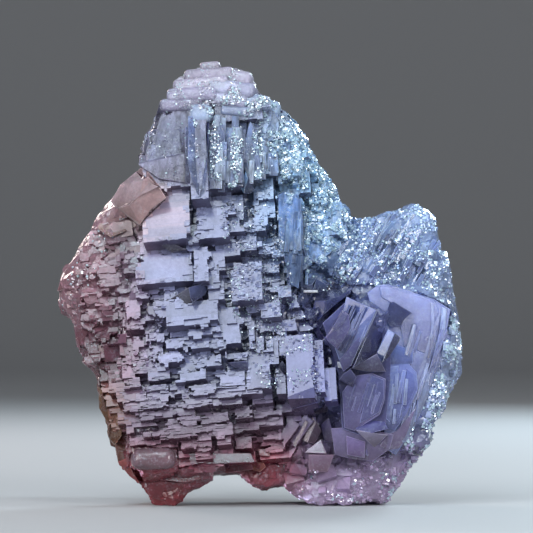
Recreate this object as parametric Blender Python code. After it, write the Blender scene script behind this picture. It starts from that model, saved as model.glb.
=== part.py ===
"""A fluorite specimen: stepped cubes grown together in one mass, with fluted columns above them, a lobe of
larger cubes to their right, a broken left side and a rough back. The stepped face looks along -Y, +Z is up
and the specimen stands on z = 0. Lengths are in millimetres until each mesh is made, in metres."""

import math
import random

import bmesh
import bpy
from mathutils import Matrix, Vector

MM = 0.001
WIDTH, DEPTH, HEIGHT = 88.8, 44.0, 97.0
SEED = 11

# The outline from the front, clockwise: the top and right side down to the foot, the underside, the left.
RIGHT_SIDE = (
    (-12.5, 96.1), (-10.7, 97.0), (-9.3, 96.8), (-8.3, 96.0), (-6.9, 95.5), (-3.5, 95.3),
    (-2.0, 93.8), (-1.0, 92.1), (0.0, 90.0), (3.3, 88.6), (4.4, 86.6), (6.0, 85.9), (10.1, 80.1),
    (11.5, 77.8), (12.7, 75.3), (15.0, 72.1), (15.3, 71.1), (16.9, 69.7), (17.5, 68.4),
    (17.9, 66.5), (18.9, 65.3), (20.4, 62.2), (25.1, 63.0), (27.7, 64.2), (30.6, 64.2),
    (32.8, 65.3), (34.4, 65.8), (37.0, 64.4), (38.6, 63.0), (39.3, 60.4), (39.9, 56.6),
    (41.7, 53.9), (42.8, 48.4), (43.0, 44.4), (43.6, 41.5), (44.4, 39.4), (44.4, 29.9),
    (43.0, 27.0), (41.6, 24.4), (40.3, 20.6), (38.8, 18.2), (37.7, 15.7), (38.3, 14.3),
    (35.7, 12.0), (35.7, 10.8), (33.7, 8.8), (32.3, 7.7), (30.8, 4.3), (28.9, 1.5),
)
UNDERSIDE = (
    (26.8, 0.0), (24.0, 0.8), (21.8, 0.6), (18.7, 0.6), (16.9, 0.0), (13.8, 0.0), (9.5, 1.8), (6.4, 4.2),
    (3.2, 4.2), (1.4, 3.4), (-0.7, 3.9), (-2.1, 5.4), (-3.0, 7.0), (-6.2, 6.7), (-9.2, 7.0),
    (-11.6, 6.4), (-13.6, 4.5), (-16.0, 3.2), (-16.6, 2.0), (-18.6, 0.0), (-22.6, 0.0),
)
LEFT_SIDE = (
    (-23.6, 1.4), (-25.4, 3.8), (-28.3, 6.9), (-30.7, 9.5), (-31.7, 13.1), (-32.8, 14.5),
    (-33.7, 19.0), (-35.1, 21.9), (-35.3, 25.9), (-35.6, 30.0), (-37.3, 30.3), (-39.7, 34.7),
    (-40.7, 40.1), (-43.1, 42.0), (-43.5, 44.4), (-44.4, 46.6), (-43.7, 48.9), (-42.4, 51.7),
    (-41.0, 54.4), (-39.3, 56.5), (-38.0, 58.7), (-35.5, 61.2), (-35.2, 63.7), (-33.0, 66.5),
    (-30.3, 69.5), (-29.0, 71.4), (-26.9, 72.9), (-26.1, 74.2), (-26.4, 76.6), (-25.7, 77.6),
    (-24.9, 80.7), (-23.2, 84.0), (-21.6, 87.5), (-19.5, 88.5), (-19.8, 89.7), (-18.7, 91.1),
    (-18.3, 92.7), (-17.2, 93.6), (-15.9, 94.6), (-14.3, 95.4),
)
OUTLINE = RIGHT_SIDE + UNDERSIDE + LEFT_SIDE
# The same with its sides carried straight down past the feet, so that the underside thins nothing.
BELOW = -8.0
SIDES = RIGHT_SIDE + ((28.9, BELOW), (-23.6, BELOW)) + LEFT_SIDE
# Towards the front and back ends of the depth the outline shrinks to this share of itself.
END_SHARE = 0.93

# How far the body reaches forward, and backward, of the middle plane at a few places: x, z, depth.
FRONT = (
    (-12, 60, 14.5), (-12, 45, 16), (-12, 30, 17), (-12, 17, 16.5), (0, 60, 13), (2, 45, 14.5), (2, 30, 15),
    (9, 30, 14), (-25, 47, 13), (-25, 30, 14), (-25, 14, 13.5), (-12, 75, 11), (-12, 88, 7.5), (-10, 95, 5),
    (-21, 80, 8), (0, 80, 8), (8, 66, 8), (12, 72, 5.5), (16, 60, 4.5), (15, 47, 7.5), (17, 38, 8.5),
    (15, 20, 8), (20, 62, 3.5), (22, 38, 11), (24, 22, 11.5), (28, 31, 12), (35, 37, 10), (41, 35, 7),
    (36, 21, 9), (33, 54, 7), (25, 57, 5.5), (-21, 4, 11), (22, 4, 10.5), (-1, 6, 8), (-38, 48, 7),
    (-33, 60, 6), (-34, 36, 8),
)
BACK = (
    (-12, 50, 19.5), (-12, 30, 21), (-12, 75, 12), (-10, 92, 6.5), (10, 50, 16), (22, 35, 17), (35, 35, 13),
    (31, 55, 10), (-30, 42, 14), (-21, 4, 12), (22, 4, 12), (12, 69, 9), (20, 61, 6), (-32, 60, 9),
    (0, 15, 17), (-25, 18, 16), (33, 18, 11),
)
EDGE_DEPTH = 3.2  # half the body's thickness where it meets the outline
EDGE_REACH = 10.0  # how far inside the outline it comes to its full depth
CELL = 4.0  # spacing of the body's points
MARGIN = 4.0  # how far the body reaches past the outline before it is trimmed
ROUGHNESS = 0.8  # how far each point strays
BACK_ROUGHNESS = 1.2
EASE = 3.0  # the reach within which a given depth holds nearly unchanged
EASE_POWER = 1.6  # how steeply its pull falls away beyond that

# The way the stepped face's cubes lie: how far a face is tilted up, turned left and rolled anticlockwise.
TILT, TURN, ROLL = 22.0, 8.0, 5.5
PLATE_THICKNESS = 9.0
STRAY = 1.2  # degrees by which one cube differs from the next
RISE = 1.4  # how far the plates stand out of the body
FRONT_CLEARANCE = 0.3  # how far behind the foremost plane every face stays

# Flat faces of the stepped front: centre x, z, width, height, and how far each stands above its neighbours.
PLATES = (
    (-20.1, 63.5, 10.3, 11.4, 2.0), (-23.2, 56.8, 5.5, 4.2, 0.6), (-20.5, 51.9, 12.3, 6.4, 1.6),
    (-12.5, 52.7, 3.1, 7.5, 2.3), (-9.3, 53.5, 3.7, 4.2, 1.0), (-9.8, 49.9, 2.4, 3.5, 1.3),
    (-9.2, 46.7, 3.5, 3.3, 0.9), (-10.0, 62.2, 6.8, 7.5, 1.0), (-8.4, 67.8, 4.8, 4.6, 0.6),
    (-5.1, 63.7, 3.5, 7.9, 0.5), (1.6, 71.1, 2.9, 7.3, 1.0), (0.2, 67.7, 2.6, 6.6, 0.4),
    (2.6, 65.1, 1.8, 4.6, 0.9), (-1.3, 63.1, 2.2, 3.5, 0.3), (0.8, 62.9, 2.0, 3.7, 0.7),
    (-2.6, 57.3, 4.0, 3.1, 0.8), (-6.8, 56.2, 5.3, 3.5, 0.7), (-14.4, 42.3, 11.2, 5.1, 1.6),
    (-22.2, 42.8, 3.5, 2.6, 0.8), (-25.2, 46.7, 2.9, 2.9, 0.5), (-27.3, 42.8, 3.1, 4.0, 0.4),
    (-12.7, 37.6, 7.3, 2.4, 1.9), (-11.9, 35.4, 5.7, 1.5, 0.8), (-6.6, 39.7, 4.8, 8.4, 0.6),
    (-22.2, 37.2, 3.1, 2.9, 0.9), (-25.6, 35.4, 3.3, 3.3, 0.5), (-4.8, 32.6, 4.4, 1.5, 1.3),
    (-0.1, 29.8, 5.1, 7.9, 1.2), (-5.7, 27.9, 5.3, 3.1, 1.0), (-11.9, 25.8, 5.3, 2.0, 1.4),
    (-5.4, 25.2, 12.1, 1.8, 2.3), (-13.9, 23.7, 5.3, 3.5, 1.0), (-7.4, 23.5, 7.3, 2.2, 1.6),
    (-15.9, 16.4, 7.7, 2.2, 1.1), (-3.3, 13.9, 3.5, 2.4, 0.9), (-30.7, 26.4, 3.7, 2.9, 0.3),
    (-28.3, 29.7, 2.9, 3.3, 0.5), (-19.2, 32.5, 5.1, 2.6, 0.7), (-21.6, 29.0, 4.8, 2.6, 0.6),
    (-2.6, 49.0, 6.6, 8.4, 1.1), (2.5, 43.0, 4.2, 3.5, 0.9), (-1.5, 36.9, 1.3, 4.8, 1.4),
    (0.3, 35.4, 1.5, 3.3, 1.2), (3.0, 34.0, 2.4, 5.7, 0.6), (5.3, 35.3, 1.8, 5.3, 1.0),
    (6.8, 35.2, 1.3, 3.7, 1.2), (8.9, 30.7, 5.9, 13.6, 2.2), (12.9, 30.6, 2.4, 11.2, 2.8),
    (15.4, 26.8, 2.6, 7.0, 4.0), (4.7, 27.5, 2.0, 5.5, 1.2),
)
# Fluted columns and ledges of the top, and blocks of the slope below them on the right, given the same way.
COLUMNS = (
    (-20.6, 78.7, 11.2, 19.4, 1.0), (-18.5, 79.0, 4.8, 6.8, 1.7), (-13.1, 76.3, 3.7, 18.9, 1.9),
    (-9.6, 76.8, 3.3, 15.6, 0.6), (-5.7, 76.0, 4.4, 12.8, 1.5), (-1.5, 77.5, 3.5, 13.0, 0.9),
    (2.1, 78.6, 3.7, 12.5, 0.5), (6.3, 76.9, 4.6, 10.6, 0.7), (-14.4, 88.9, 10.3, 3.7, 1.0),
    (-10.8, 91.0, 15.8, 4.8, 0.7), (-9.2, 93.2, 13.2, 4.4, 0.4), (-4.5, 87.5, 10.3, 7.0, 1.2),
    (1.1, 85.4, 6.2, 6.4, 0.6), (7.7, 71.0, 7.0, 5.7, 0.8), (6.7, 62.2, 5.1, 12.8, 1.4),
    (13.0, 68.2, 3.5, 4.6, 0.8), (14.3, 62.4, 9.2, 7.0, 1.0), (12.3, 56.0, 6.6, 5.7, 0.9),
    (16.9, 56.0, 6.2, 5.7, 0.7), (7.8, 53.6, 5.1, 5.3, 0.8), (11.4, 75.4, 4.8, 4.8, 0.6),
    (9.0, 78.5, 4.4, 4.8, 0.6), (5.1, 83.3, 4.4, 4.8, 0.5),
)
# Rows of low bricks under the plates and between them, from one z to another and one x to another.
BRICK_ROWS = (9.5, 60.0)
BRICK_LEFT, BRICK_RIGHT = -31.0, 10.0
ROW_PITCH = 2.5
ROW_ROLL = 7.5  # degrees by which a row rises to the right
ROW_PIVOT = -10.0  # the x at which a row has the height it is named for
ROW_STRAY = 0.3
BRICK_WIDTHS = (2.6, 7.0)
BRICK_OUT = (1.1, 2.5)
NEARLY = 0.5
BRICK_INSIDE = 2.5  # the least distance of a brick's centre from the outline

# Cubes that lie their own way: centre x, z, width, height, roll, turn, tilt, how far each stands out.
CUBES = (
    (33.0, 30.5, 18.0, 33.0, -17.0, -13.0, 4.0, 1.5),
    (37.5, 31.0, 14.0, 29.0, -18.0, -24.0, 4.0, 1.2),
    (21.2, 38.2, 8.2, 13.1, -24.0, 22.0, 8.0, 5.2),
    (17.4, 38.4, 5.0, 8.2, -24.0, 22.0, 8.0, 3.6),
    (29.9, 42.4, 6.2, 5.2, -17.0, 30.0, 0.0, 0.9),
    (27.2, 34.9, 2.4, 6.4, -22.0, 10.0, 4.0, 3.0),
    (24.4, 29.0, 5.4, 3.8, -30.0, 20.0, -25.0, 3.4),
    (20.3, 28.6, 3.0, 3.2, -26.0, -30.0, -12.0, 3.8),
    (22.6, 22.6, 9.2, 12.4, -3.0, 6.0, 4.0, 2.2),
    (30.0, 23.2, 6.0, 13.4, -20.0, 2.0, 3.0, 2.4),
    (24.2, 16.2, 7.0, 4.6, -2.0, 0.0, 45.0, 1.6),
    (11.2, 48.6, 5.4, 5.0, 41.0, 10.0, 16.0, 3.2),
    (17.0, 44.6, 4.6, 4.0, -32.0, -20.0, 10.0, 2.4),
    (13.4, 42.4, 2.8, 5.6, -8.0, 26.0, 4.0, 2.0),
    (14.6, 37.0, 3.2, 6.4, -24.0, 34.0, 0.0, 2.2),
    (17.0, 32.4, 3.4, 5.0, -28.0, 24.0, -14.0, 2.8),
    (15.4, 19.6, 3.6, 7.4, 12.0, 24.0, 0.0, 2.0),
    (17.8, 15.4, 3.4, 6.2, 24.0, 20.0, 4.0, 2.2),
    (12.4, 11.2, 4.8, 5.2, 4.0, 22.0, 18.0, 2.2),
    (9.0, 16.6, 2.4, 6.4, -34.0, 14.0, 6.0, 3.2),
    (6.2, 16.2, 2.4, 5.6, -36.0, 14.0, 6.0, 3.0),
    (36.8, 15.6, 2.4, 2.4, 30.0, -10.0, 10.0, 0.6),
    (-26.4, 66.2, 8.6, 7.6, -45.0, 14.0, 10.0, 2.4),
    (-37.4, 56.4, 6.6, 4.4, -38.0, 24.0, 6.0, 1.0),
    (-39.0, 47.2, 6.0, 7.0, 30.0, 30.0, 0.0, 0.8),
    (-34.0, 51.4, 6.2, 6.8, -30.0, 16.0, 12.0, 1.4),
    (-35.0, 41.6, 7.4, 6.2, 12.0, 26.0, 4.0, 1.0),
    (-34.4, 34.4, 6.2, 5.8, 6.0, 22.0, 8.0, 1.0),
    (-30.6, 36.4, 3.8, 7.6, 4.0, 14.0, 14.0, 1.2),
    (-31.4, 58.6, 5.2, 4.6, -20.0, 18.0, 20.0, 1.4),
    (-30.8, 20.4, 5.0, 8.0, 8.0, 30.0, 0.0, 0.8),
    (-18.2, 44.2, 7.6, 3.0, 28.0, -12.0, 26.0, 2.4),
    (-16.2, 57.2, 7.0, 3.0, -14.0, 10.0, -30.0, 2.0),
)
# Ribs of the right lobe's upper part, which lean to the right: how many across and up, and their size.
RIBS_ACROSS, RIBS_UP = 5, 4
RIB_AREA = ((19.5, 39.5), (44.5, 62.5))
RIB_WIDTHS, RIB_HEIGHTS, RIB_THICKNESS = (2.4, 4.4), (4.6, 7.6), 6.0
RIB_ROLLS, RIB_TURNS, RIB_TILTS = (-36, -24), (-20, 10), (5, 25)
RIB_OUT = (0.4, 1.4)
RIB_INSIDE = 1.5

# Ledges where the back broke along its cleavage.
LEDGES = 52
LEDGE_AREA = ((-40, 42), (5, 92))
LEDGE_INSIDE = 3.5
LEDGE_WIDTHS, LEDGE_HEIGHTS, LEDGE_OUT = (5.0, 13.0), (4.0, 10.0), (0.3, 2.0)
CLEAVAGE = (18.0, -12.0, 10.0)  # roll, turn and tilt of those planes, seen from behind
LEDGE_STRAY = 2.5

# A smooth bulge at the lower left: centre x, z, width, height, roll, turn, tilt, how far it stands out.
BULGE = (-22.7, 10.6, 9.6, 5.0, 3.0, 12.0, 4.0, 3.4)
BULGE_ROUNDING = 1.6


def remove_everything():
    for held in list(bpy.data.objects):
        bpy.data.objects.remove(held, do_unlink=True)


def new_collection(name):
    made = bpy.data.collections.new(name)
    bpy.context.scene.collection.children.link(made)
    return made


def new_object(name, shape, collection):
    """The object of a finished mesh in millimetres, kept in metres."""
    bmesh.ops.recalc_face_normals(shape, faces=shape.faces)
    bmesh.ops.scale(shape, vec=(MM, MM, MM), verts=shape.verts)
    mesh = bpy.data.meshes.new(name)
    shape.to_mesh(mesh)
    shape.free()
    made = bpy.data.objects.new(name, mesh)
    collection.objects.link(made)
    return made


def depth_at(x, z, places):
    """The depth at x, z, eased between the places where it is given."""
    total, weights = 0.0, 0.0
    for near_x, near_z, depth in places:
        weight = 1.0 / ((x - near_x) ** 2 + (z - near_z) ** 2 + EASE**2) ** EASE_POWER
        total += weight * depth
        weights += weight
    return total / weights


def distance_inside(x, z):
    """How far x, z lies from the nearest side or top of the outline, or 0 outside it."""
    nearest, inside = 1e9, False
    for (ax, az), (bx, bz) in zip(SIDES, SIDES[1:] + SIDES[:1]):
        if (az > z) != (bz > z) and x < (bx - ax) * (z - az) / (bz - az) + ax:
            inside = not inside
        if az == bz == BELOW:
            continue
        along = ((x - ax) * (bx - ax) + (z - az) * (bz - az)) / ((bx - ax) ** 2 + (bz - az) ** 2)
        along = min(max(along, 0.0), 1.0)
        nearest = min(nearest, math.hypot(x - ax - along * (bx - ax), z - az - along * (bz - az)))
    return nearest if inside else 0.0


def body_depth(x, z, places):
    """The depth at x, z, which falls away in a curve towards the outline."""
    inward = min(distance_inside(x, z) / EDGE_REACH, 1.0)
    rounding = math.sqrt(1.0 - (1.0 - inward) ** 2)
    return EDGE_DEPTH + (depth_at(x, z, places) - EDGE_DEPTH) * rounding


def body(collection):
    """The craggy mass, still square from the front: a sheet of points for the front and one for the back."""
    across, up = WIDTH + 2 * MARGIN, HEIGHT + 2 * MARGIN
    shape = bmesh.new()
    bmesh.ops.create_grid(shape, x_segments=round(across / CELL), y_segments=round(up / CELL), size=0.5)
    for point in shape.verts:
        point.co = Vector((point.co.x * across, -1.0, point.co.y * up + HEIGHT / 2))
    behind = bmesh.ops.extrude_face_region(shape, geom=shape.faces[:])
    for part in behind["geom"]:
        if isinstance(part, bmesh.types.BMVert):
            part.co.y = 1.0
    for point in shape.verts:
        x, front, z = point.co.x, point.co.y < 0, point.co.z
        if abs(x) < WIDTH / 2 and 0 < z < HEIGHT:
            x += random.uniform(-ROUGHNESS, ROUGHNESS)
            z += random.uniform(-ROUGHNESS, ROUGHNESS)
        depth = body_depth(x, z, FRONT if front else BACK)
        depth += random.uniform(-1.0, 1.0) * (ROUGHNESS / 2 if front else BACK_ROUGHNESS)
        point.co = Vector((x, -depth if front else depth, z))
    bmesh.ops.triangulate(shape, faces=shape.faces)
    return new_object("fluorite", shape, collection)


def outline_block(collection):
    """The outline as a solid that tapers to the front and to the back."""
    shape = bmesh.new()
    rings = []
    for y, share in ((-DEPTH / 2, END_SHARE), (0.0, 1.0), (DEPTH / 2, END_SHARE)):
        rings.append([shape.verts.new((x * share, y, z * share)) for x, z in OUTLINE])
    shape.faces.new(rings[0])
    shape.faces.new(rings[-1][::-1])
    for near, far in zip(rings, rings[1:]):
        for i in range(len(near)):
            j = (i + 1) % len(near)
            shape.faces.new((near[i], near[j], far[j], far[i]))
    return new_object("outline_block", shape, collection)


def turned(roll, turn, tilt):
    """The rotation of a face that looks along -Y: rolled in its plane, then tilted up, then turned left."""
    about_z = Matrix.Rotation(math.radians(-turn), 3, "Z")
    about_x = Matrix.Rotation(math.radians(-tilt), 3, "X")
    about_y = Matrix.Rotation(math.radians(-roll), 3, "Y")
    return about_z @ about_x @ about_y


def cube_shape(face_centre, size, way, rounding=0.0):
    """A block of width, thickness and height whose face looking along -Y has its centre at face_centre."""
    shape = bmesh.new()
    bmesh.ops.create_cube(shape, size=1.0)
    bmesh.ops.scale(shape, vec=size, verts=shape.verts)
    bmesh.ops.translate(shape, vec=(0.0, size[1] / 2, 0.0), verts=shape.verts)
    if rounding:
        bmesh.ops.bevel(
            shape, geom=shape.edges[:], offset=rounding, segments=2, profile=0.5, affect="EDGES"
        )
    bmesh.ops.rotate(shape, matrix=way, verts=shape.verts)
    bmesh.ops.translate(shape, vec=face_centre, verts=shape.verts)
    return shape


def strayed(roll, turn, tilt, stray=STRAY):
    return turned(
        roll + random.uniform(-stray, stray),
        turn + random.uniform(-stray, stray),
        tilt + random.uniform(-stray, stray),
    )


def front_block(name, x, z, wide, high, angles, out, collection, thickness=PLATE_THICKNESS):
    """A block whose front face shows as wide and high as given and stands out of the body's front."""
    roll, turn, tilt = angles
    lean = math.radians(abs(tilt))
    high = high / max(math.cos(lean), math.cos(math.radians(45)))
    upper_edge_sinks = 0.4 * high * math.sin(lean)
    y = max(-body_depth(x, z, FRONT) - out - upper_edge_sinks, FRONT_CLEARANCE - DEPTH / 2)
    shape = cube_shape((x, y, z), (wide, thickness, high), strayed(roll, turn, tilt))
    return new_object(name, shape, collection)


def covered(x, z):
    """Whether a plate or a column already shows at x, z or nearly there."""
    for centre_x, centre_z, wide, high, out in PLATES + COLUMNS:
        if abs(x - centre_x) < wide / 2 + NEARLY and abs(z - centre_z) < high / 2 + NEARLY:
            return True
    return False


def plates(collection):
    for i, (x, z, wide, high, out) in enumerate(PLATES + COLUMNS):
        front_block(f"plate_{i}", x, z, wide, high, (ROLL, TURN, TILT), out + RISE, collection)


def bricks(collection):
    """Rows of low bricks wherever no plate shows."""
    made = 0
    row_z, top = BRICK_ROWS
    slope = math.tan(math.radians(ROW_ROLL))
    while row_z < top:
        left = BRICK_LEFT + random.uniform(0, 3)
        while left < BRICK_RIGHT:
            wide = random.uniform(*BRICK_WIDTHS)
            x = left + wide / 2
            z = row_z + (x - ROW_PIVOT) * slope + random.uniform(-ROW_STRAY, ROW_STRAY)
            left += wide * random.uniform(0.9, 1.3)
            if covered(x, z) or distance_inside(x, z) < BRICK_INSIDE:
                continue
            high = ROW_PITCH * random.uniform(0.8, 1.05)
            out = random.uniform(*BRICK_OUT)
            front_block(f"brick_{made}", x, z, wide, high, (ROW_ROLL, TURN, TILT), out, collection)
            made += 1
        row_z += ROW_PITCH


def cubes(collection):
    for i, (x, z, wide, high, roll, turn, tilt, out) in enumerate(CUBES):
        front_block(f"cube_{i}", x, z, wide, high, (roll, turn, tilt), out, collection)


def ribs(collection):
    (left, right), (low, high) = RIB_AREA
    for i in range(RIBS_ACROSS):
        for j in range(RIBS_UP):
            x = left + (i + random.uniform(0.2, 0.8)) * (right - left) / RIBS_ACROSS
            z = low + (j + random.uniform(0.2, 0.8)) * (high - low) / RIBS_UP
            if distance_inside(x, z) < RIB_INSIDE:
                continue
            angles = [random.uniform(*among) for among in (RIB_ROLLS, RIB_TURNS, RIB_TILTS)]
            wide, tall, out = [random.uniform(*among) for among in (RIB_WIDTHS, RIB_HEIGHTS, RIB_OUT)]
            front_block(f"rib_{i}_{j}", x, z, wide, tall, angles, out, collection, RIB_THICKNESS)


def ledges(collection):
    """Blocks sunk in the back, all along one set of cleavage planes."""
    for i in range(LEDGES):
        x, z = random.uniform(*LEDGE_AREA[0]), random.uniform(*LEDGE_AREA[1])
        if distance_inside(x, z) < LEDGE_INSIDE:
            continue
        wide, high, out = [random.uniform(*among) for among in (LEDGE_WIDTHS, LEDGE_HEIGHTS, LEDGE_OUT)]
        y = min(body_depth(x, z, BACK) + out, DEPTH / 2 - FRONT_CLEARANCE)
        way = Matrix.Rotation(math.pi, 3, "Z") @ strayed(*CLEAVAGE, LEDGE_STRAY)
        new_object(f"ledge_{i}", cube_shape((x, y, z), (wide, PLATE_THICKNESS, high), way), collection)


def bulge(collection):
    x, z, wide, high, roll, turn, tilt, out = BULGE
    face_centre = (x, -body_depth(x, z, FRONT) - out, z)
    way = turned(roll, turn, tilt)
    shape = cube_shape(face_centre, (wide, PLATE_THICKNESS, high), way, BULGE_ROUNDING)
    new_object("bulge", shape, collection)


def grow(target, crystals, block):
    """Join every crystal to the body, then keep what lies inside the outline."""
    bpy.context.view_layer.objects.active = target
    union = target.modifiers.new("join crystals", "BOOLEAN")
    union.operation, union.solver, union.operand_type = "UNION", "EXACT", "COLLECTION"
    union.collection = crystals
    trim = target.modifiers.new("outline", "BOOLEAN")
    trim.operation, trim.solver, trim.object = "INTERSECT", "EXACT", block
    for modifier in (union, trim):
        bpy.ops.object.modifier_apply(modifier=modifier.name)
    for crystal in list(crystals.objects):
        bpy.data.objects.remove(crystal, do_unlink=True)
    bpy.data.collections.remove(crystals)


def fill_pockets(target):
    """Drop every skin but the outer one, so that pockets which the crystals close off become solid."""
    shape = bmesh.new()
    shape.from_mesh(target.data)
    unseen, skins = set(shape.faces), []
    while unseen:
        skin, edge_of_skin = set(), [unseen.pop()]
        while edge_of_skin:
            face = edge_of_skin.pop()
            skin.add(face)
            beside = {other for edge in face.edges for other in edge.link_faces} & unseen
            unseen -= beside
            edge_of_skin.extend(beside)
        skins.append(skin)
    skins.sort(key=len)
    inner = [face for skin in skins[:-1] for face in skin]
    bmesh.ops.delete(shape, geom=inner, context="FACES")
    shape.to_mesh(target.data)
    shape.free()


def material():
    made = bpy.data.materials.new("fluorite")
    made.use_nodes = True
    shader = made.node_tree.nodes["Principled BSDF"]
    shader.inputs["Base Color"].default_value = (0.36, 0.33, 0.5, 1.0)
    shader.inputs["Roughness"].default_value = 0.25
    shader.inputs["IOR"].default_value = 1.434
    return made


def main():
    remove_everything()
    random.seed(SEED)
    specimen = new_collection("fluorite_specimen")
    cutters = new_collection("cutters")
    crystals = new_collection("crystals")
    fluorite = body(specimen)
    plates(crystals)
    bricks(crystals)
    cubes(crystals)
    ribs(crystals)
    ledges(crystals)
    bulge(crystals)
    block = outline_block(cutters)
    block.hide_render = True
    block.display_type = "WIRE"
    grow(fluorite, crystals, block)
    fill_pockets(fluorite)
    fluorite.data.materials.clear()
    fluorite.data.materials.append(material())


main()
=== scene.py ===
"""The looks of the fluorite specimen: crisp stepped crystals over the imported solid, each with a procedural
material, on a pale floor in soft studio light. Lengths in the tables are in millimetres, in the frame's axes:
x to the right, z up, and -y towards the camera. Where it is said, they are in the photograph's pixels."""

import math

import bmesh
import bpy
import numpy as np
from mathutils import Matrix, Vector, noise
from mathutils.bvhtree import BVHTree
from mathutils.kdtree import KDTree

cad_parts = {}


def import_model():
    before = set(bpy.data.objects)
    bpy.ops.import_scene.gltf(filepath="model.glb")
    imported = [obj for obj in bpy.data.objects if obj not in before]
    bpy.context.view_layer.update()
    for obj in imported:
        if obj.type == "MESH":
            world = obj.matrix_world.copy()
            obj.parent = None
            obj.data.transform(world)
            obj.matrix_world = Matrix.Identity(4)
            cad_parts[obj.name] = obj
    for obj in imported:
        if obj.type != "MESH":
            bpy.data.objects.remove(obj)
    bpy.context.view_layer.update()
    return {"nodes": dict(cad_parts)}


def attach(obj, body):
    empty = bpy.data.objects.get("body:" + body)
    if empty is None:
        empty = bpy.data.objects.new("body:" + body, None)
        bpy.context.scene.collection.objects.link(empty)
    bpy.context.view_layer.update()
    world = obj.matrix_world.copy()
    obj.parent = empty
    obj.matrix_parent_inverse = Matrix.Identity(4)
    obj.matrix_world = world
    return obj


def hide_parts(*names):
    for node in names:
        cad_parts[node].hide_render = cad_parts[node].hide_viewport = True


MM = 0.001
SEED = 5
PIXEL = 0.22  # millimetres of the specimen in one pixel of the photograph
MIDDLE_PIXEL, FLOOR_PIXEL = 259.0, 503.6  # the photograph's column of x = 0 and its row of z = 0
AWAY = 80.0  # in front of everything
BACKWARDS = Vector((0, 1, 0))

# The lie of the stepped face's cubes, as in the solid: tilted up, turned left, rolled anticlockwise.
TILT, TURN, ROLL = 22.0, 8.0, 5.5


def turned(roll, turn, tilt):
    """The rotation of a face that looks along -Y: rolled in its plane, then tilted up, then turned left."""
    about_z = Matrix.Rotation(math.radians(-turn), 3, "Z")
    about_x = Matrix.Rotation(math.radians(-tilt), 3, "X")
    about_y = Matrix.Rotation(math.radians(-roll), 3, "Y")
    return about_z @ about_x @ about_y


LATTICE = np.array(turned(ROLL, TURN, TILT))
U, V, N = LATTICE[:, 0], LATTICE[:, 2], -LATTICE[:, 1]
MIDDLE = np.array((0.0, 0.0, 45.0))


def read(elements, what, size=3, kind=float):
    """A number or vector of each of a mesh's elements, as an array."""
    values = np.empty(len(elements) * size, kind)
    elements.foreach_get(what, values)
    return values.reshape(-1, size) if size > 1 else values


class Solid:
    """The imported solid, in millimetres, to lay crystals on."""

    def __init__(self, node):
        points = read(node.data.vertices, "co") / MM
        faces = [tuple(face.vertices) for face in node.data.polygons]
        self.tree = BVHTree.FromPolygons(points.tolist(), faces)

    def front(self, x, z):
        """The foremost point at x, z, or None."""
        return self.tree.ray_cast(Vector((x, -AWAY, z)), BACKWARDS)[0]


def spot(px, py):
    """Where a pixel of the photograph is in the frame: x, z in millimetres."""
    return ((px - MIDDLE_PIXEL) * PIXEL, (FLOOR_PIXEL - py) * PIXEL)


def spots(outline):
    """An outline in the photograph's pixels, in millimetres."""
    return [spot(*corner) for corner in outline]


def inside(polygon, x, z):
    """Which of the points x, z lie in the polygon."""
    x, z = np.asarray(x, float), np.asarray(z, float)
    found = np.zeros(x.shape, bool)
    for (ax, az), (bx, bz) in zip(polygon, polygon[1:] + polygon[:1]):
        if az != bz:
            crosses = (az > z) != (bz > z)
            found ^= crosses & (x < (bx - ax) * (z - az) / (bz - az) + ax)
    return found


# Colour by place.


def linear(r, g, b):
    """A screen colour, 0 to 255, as the linear colour that shaders take."""
    share = np.array((r, g, b)) / 255
    return np.where(share <= 0.04045, share / 12.92, ((share + 0.055) / 1.055) ** 2.4)


# Centre x, z, reach across, reach up, colour, strength.
ZONES = (
    (-12, 80, 14, 12, (108, 110, 138), 1.0),
    (-2, 78, 8, 12, (104, 116, 146), 1.0),
    (-8, 93, 12, 6, (186, 178, 194), 1.6),
    (10, 72, 9, 14, (138, 180, 218), 1.2),
    (7, 60, 5, 9, (84, 108, 152), 1.2),
    (15, 60, 5, 8, (142, 180, 228), 1.3),
    (-38, 52, 9, 16, (174, 128, 138), 1.6),
    (-27, 66, 6, 6, (226, 190, 192), 1.6),
    (-34, 35, 8, 10, (116, 62, 74), 1.8),
    (-35, 18, 4, 8, (122, 74, 34), 3.0),
    (-22, 5, 10, 6, (164, 66, 72), 1.6),
    (2, 7, 6, 5, (150, 34, 26), 2.2),
    (-10, 10, 12, 5, (130, 80, 94), 1.2),
    (20, 5, 14, 8, (196, 172, 206), 1.4),
    (24, 32, 12, 18, (102, 106, 160), 1.6),
    (40, 35, 5, 16, (156, 172, 206), 1.4),
    (30, 56, 12, 9, (158, 182, 226), 1.6),
    (15, 42, 6, 9, (66, 66, 104), 1.4),
    (-12, 45, 18, 24, (108, 113, 146), 1.4),
    (-10, 18, 18, 6, (106, 84, 96), 1.4),
)
BACK_COLOUR = (122, 112, 130)
DULL_FROM, DULL_OVER, DULL_MOST = 2, 10, 0.5  # y where colours start to dull, over how far, and how much


def zone_colours(points):
    """The linear colour of each point, eased between the zones, and duller towards the back."""
    total = np.zeros((len(points), 3))
    weights = np.zeros(len(points))
    for x, z, across, up, colour, strength in ZONES:
        away = ((points[:, 0] - x) / across) ** 2 + ((points[:, 2] - z) / up) ** 2
        weight = strength * np.exp(-away) + 1e-6
        total += weight[:, None] * linear(*colour)
        weights += weight
    behind = np.clip((points[:, 1:2] - DULL_FROM) / DULL_OVER, 0, DULL_MOST)
    return (1 - behind) * total / weights[:, None] + behind * linear(*BACK_COLOUR)


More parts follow.
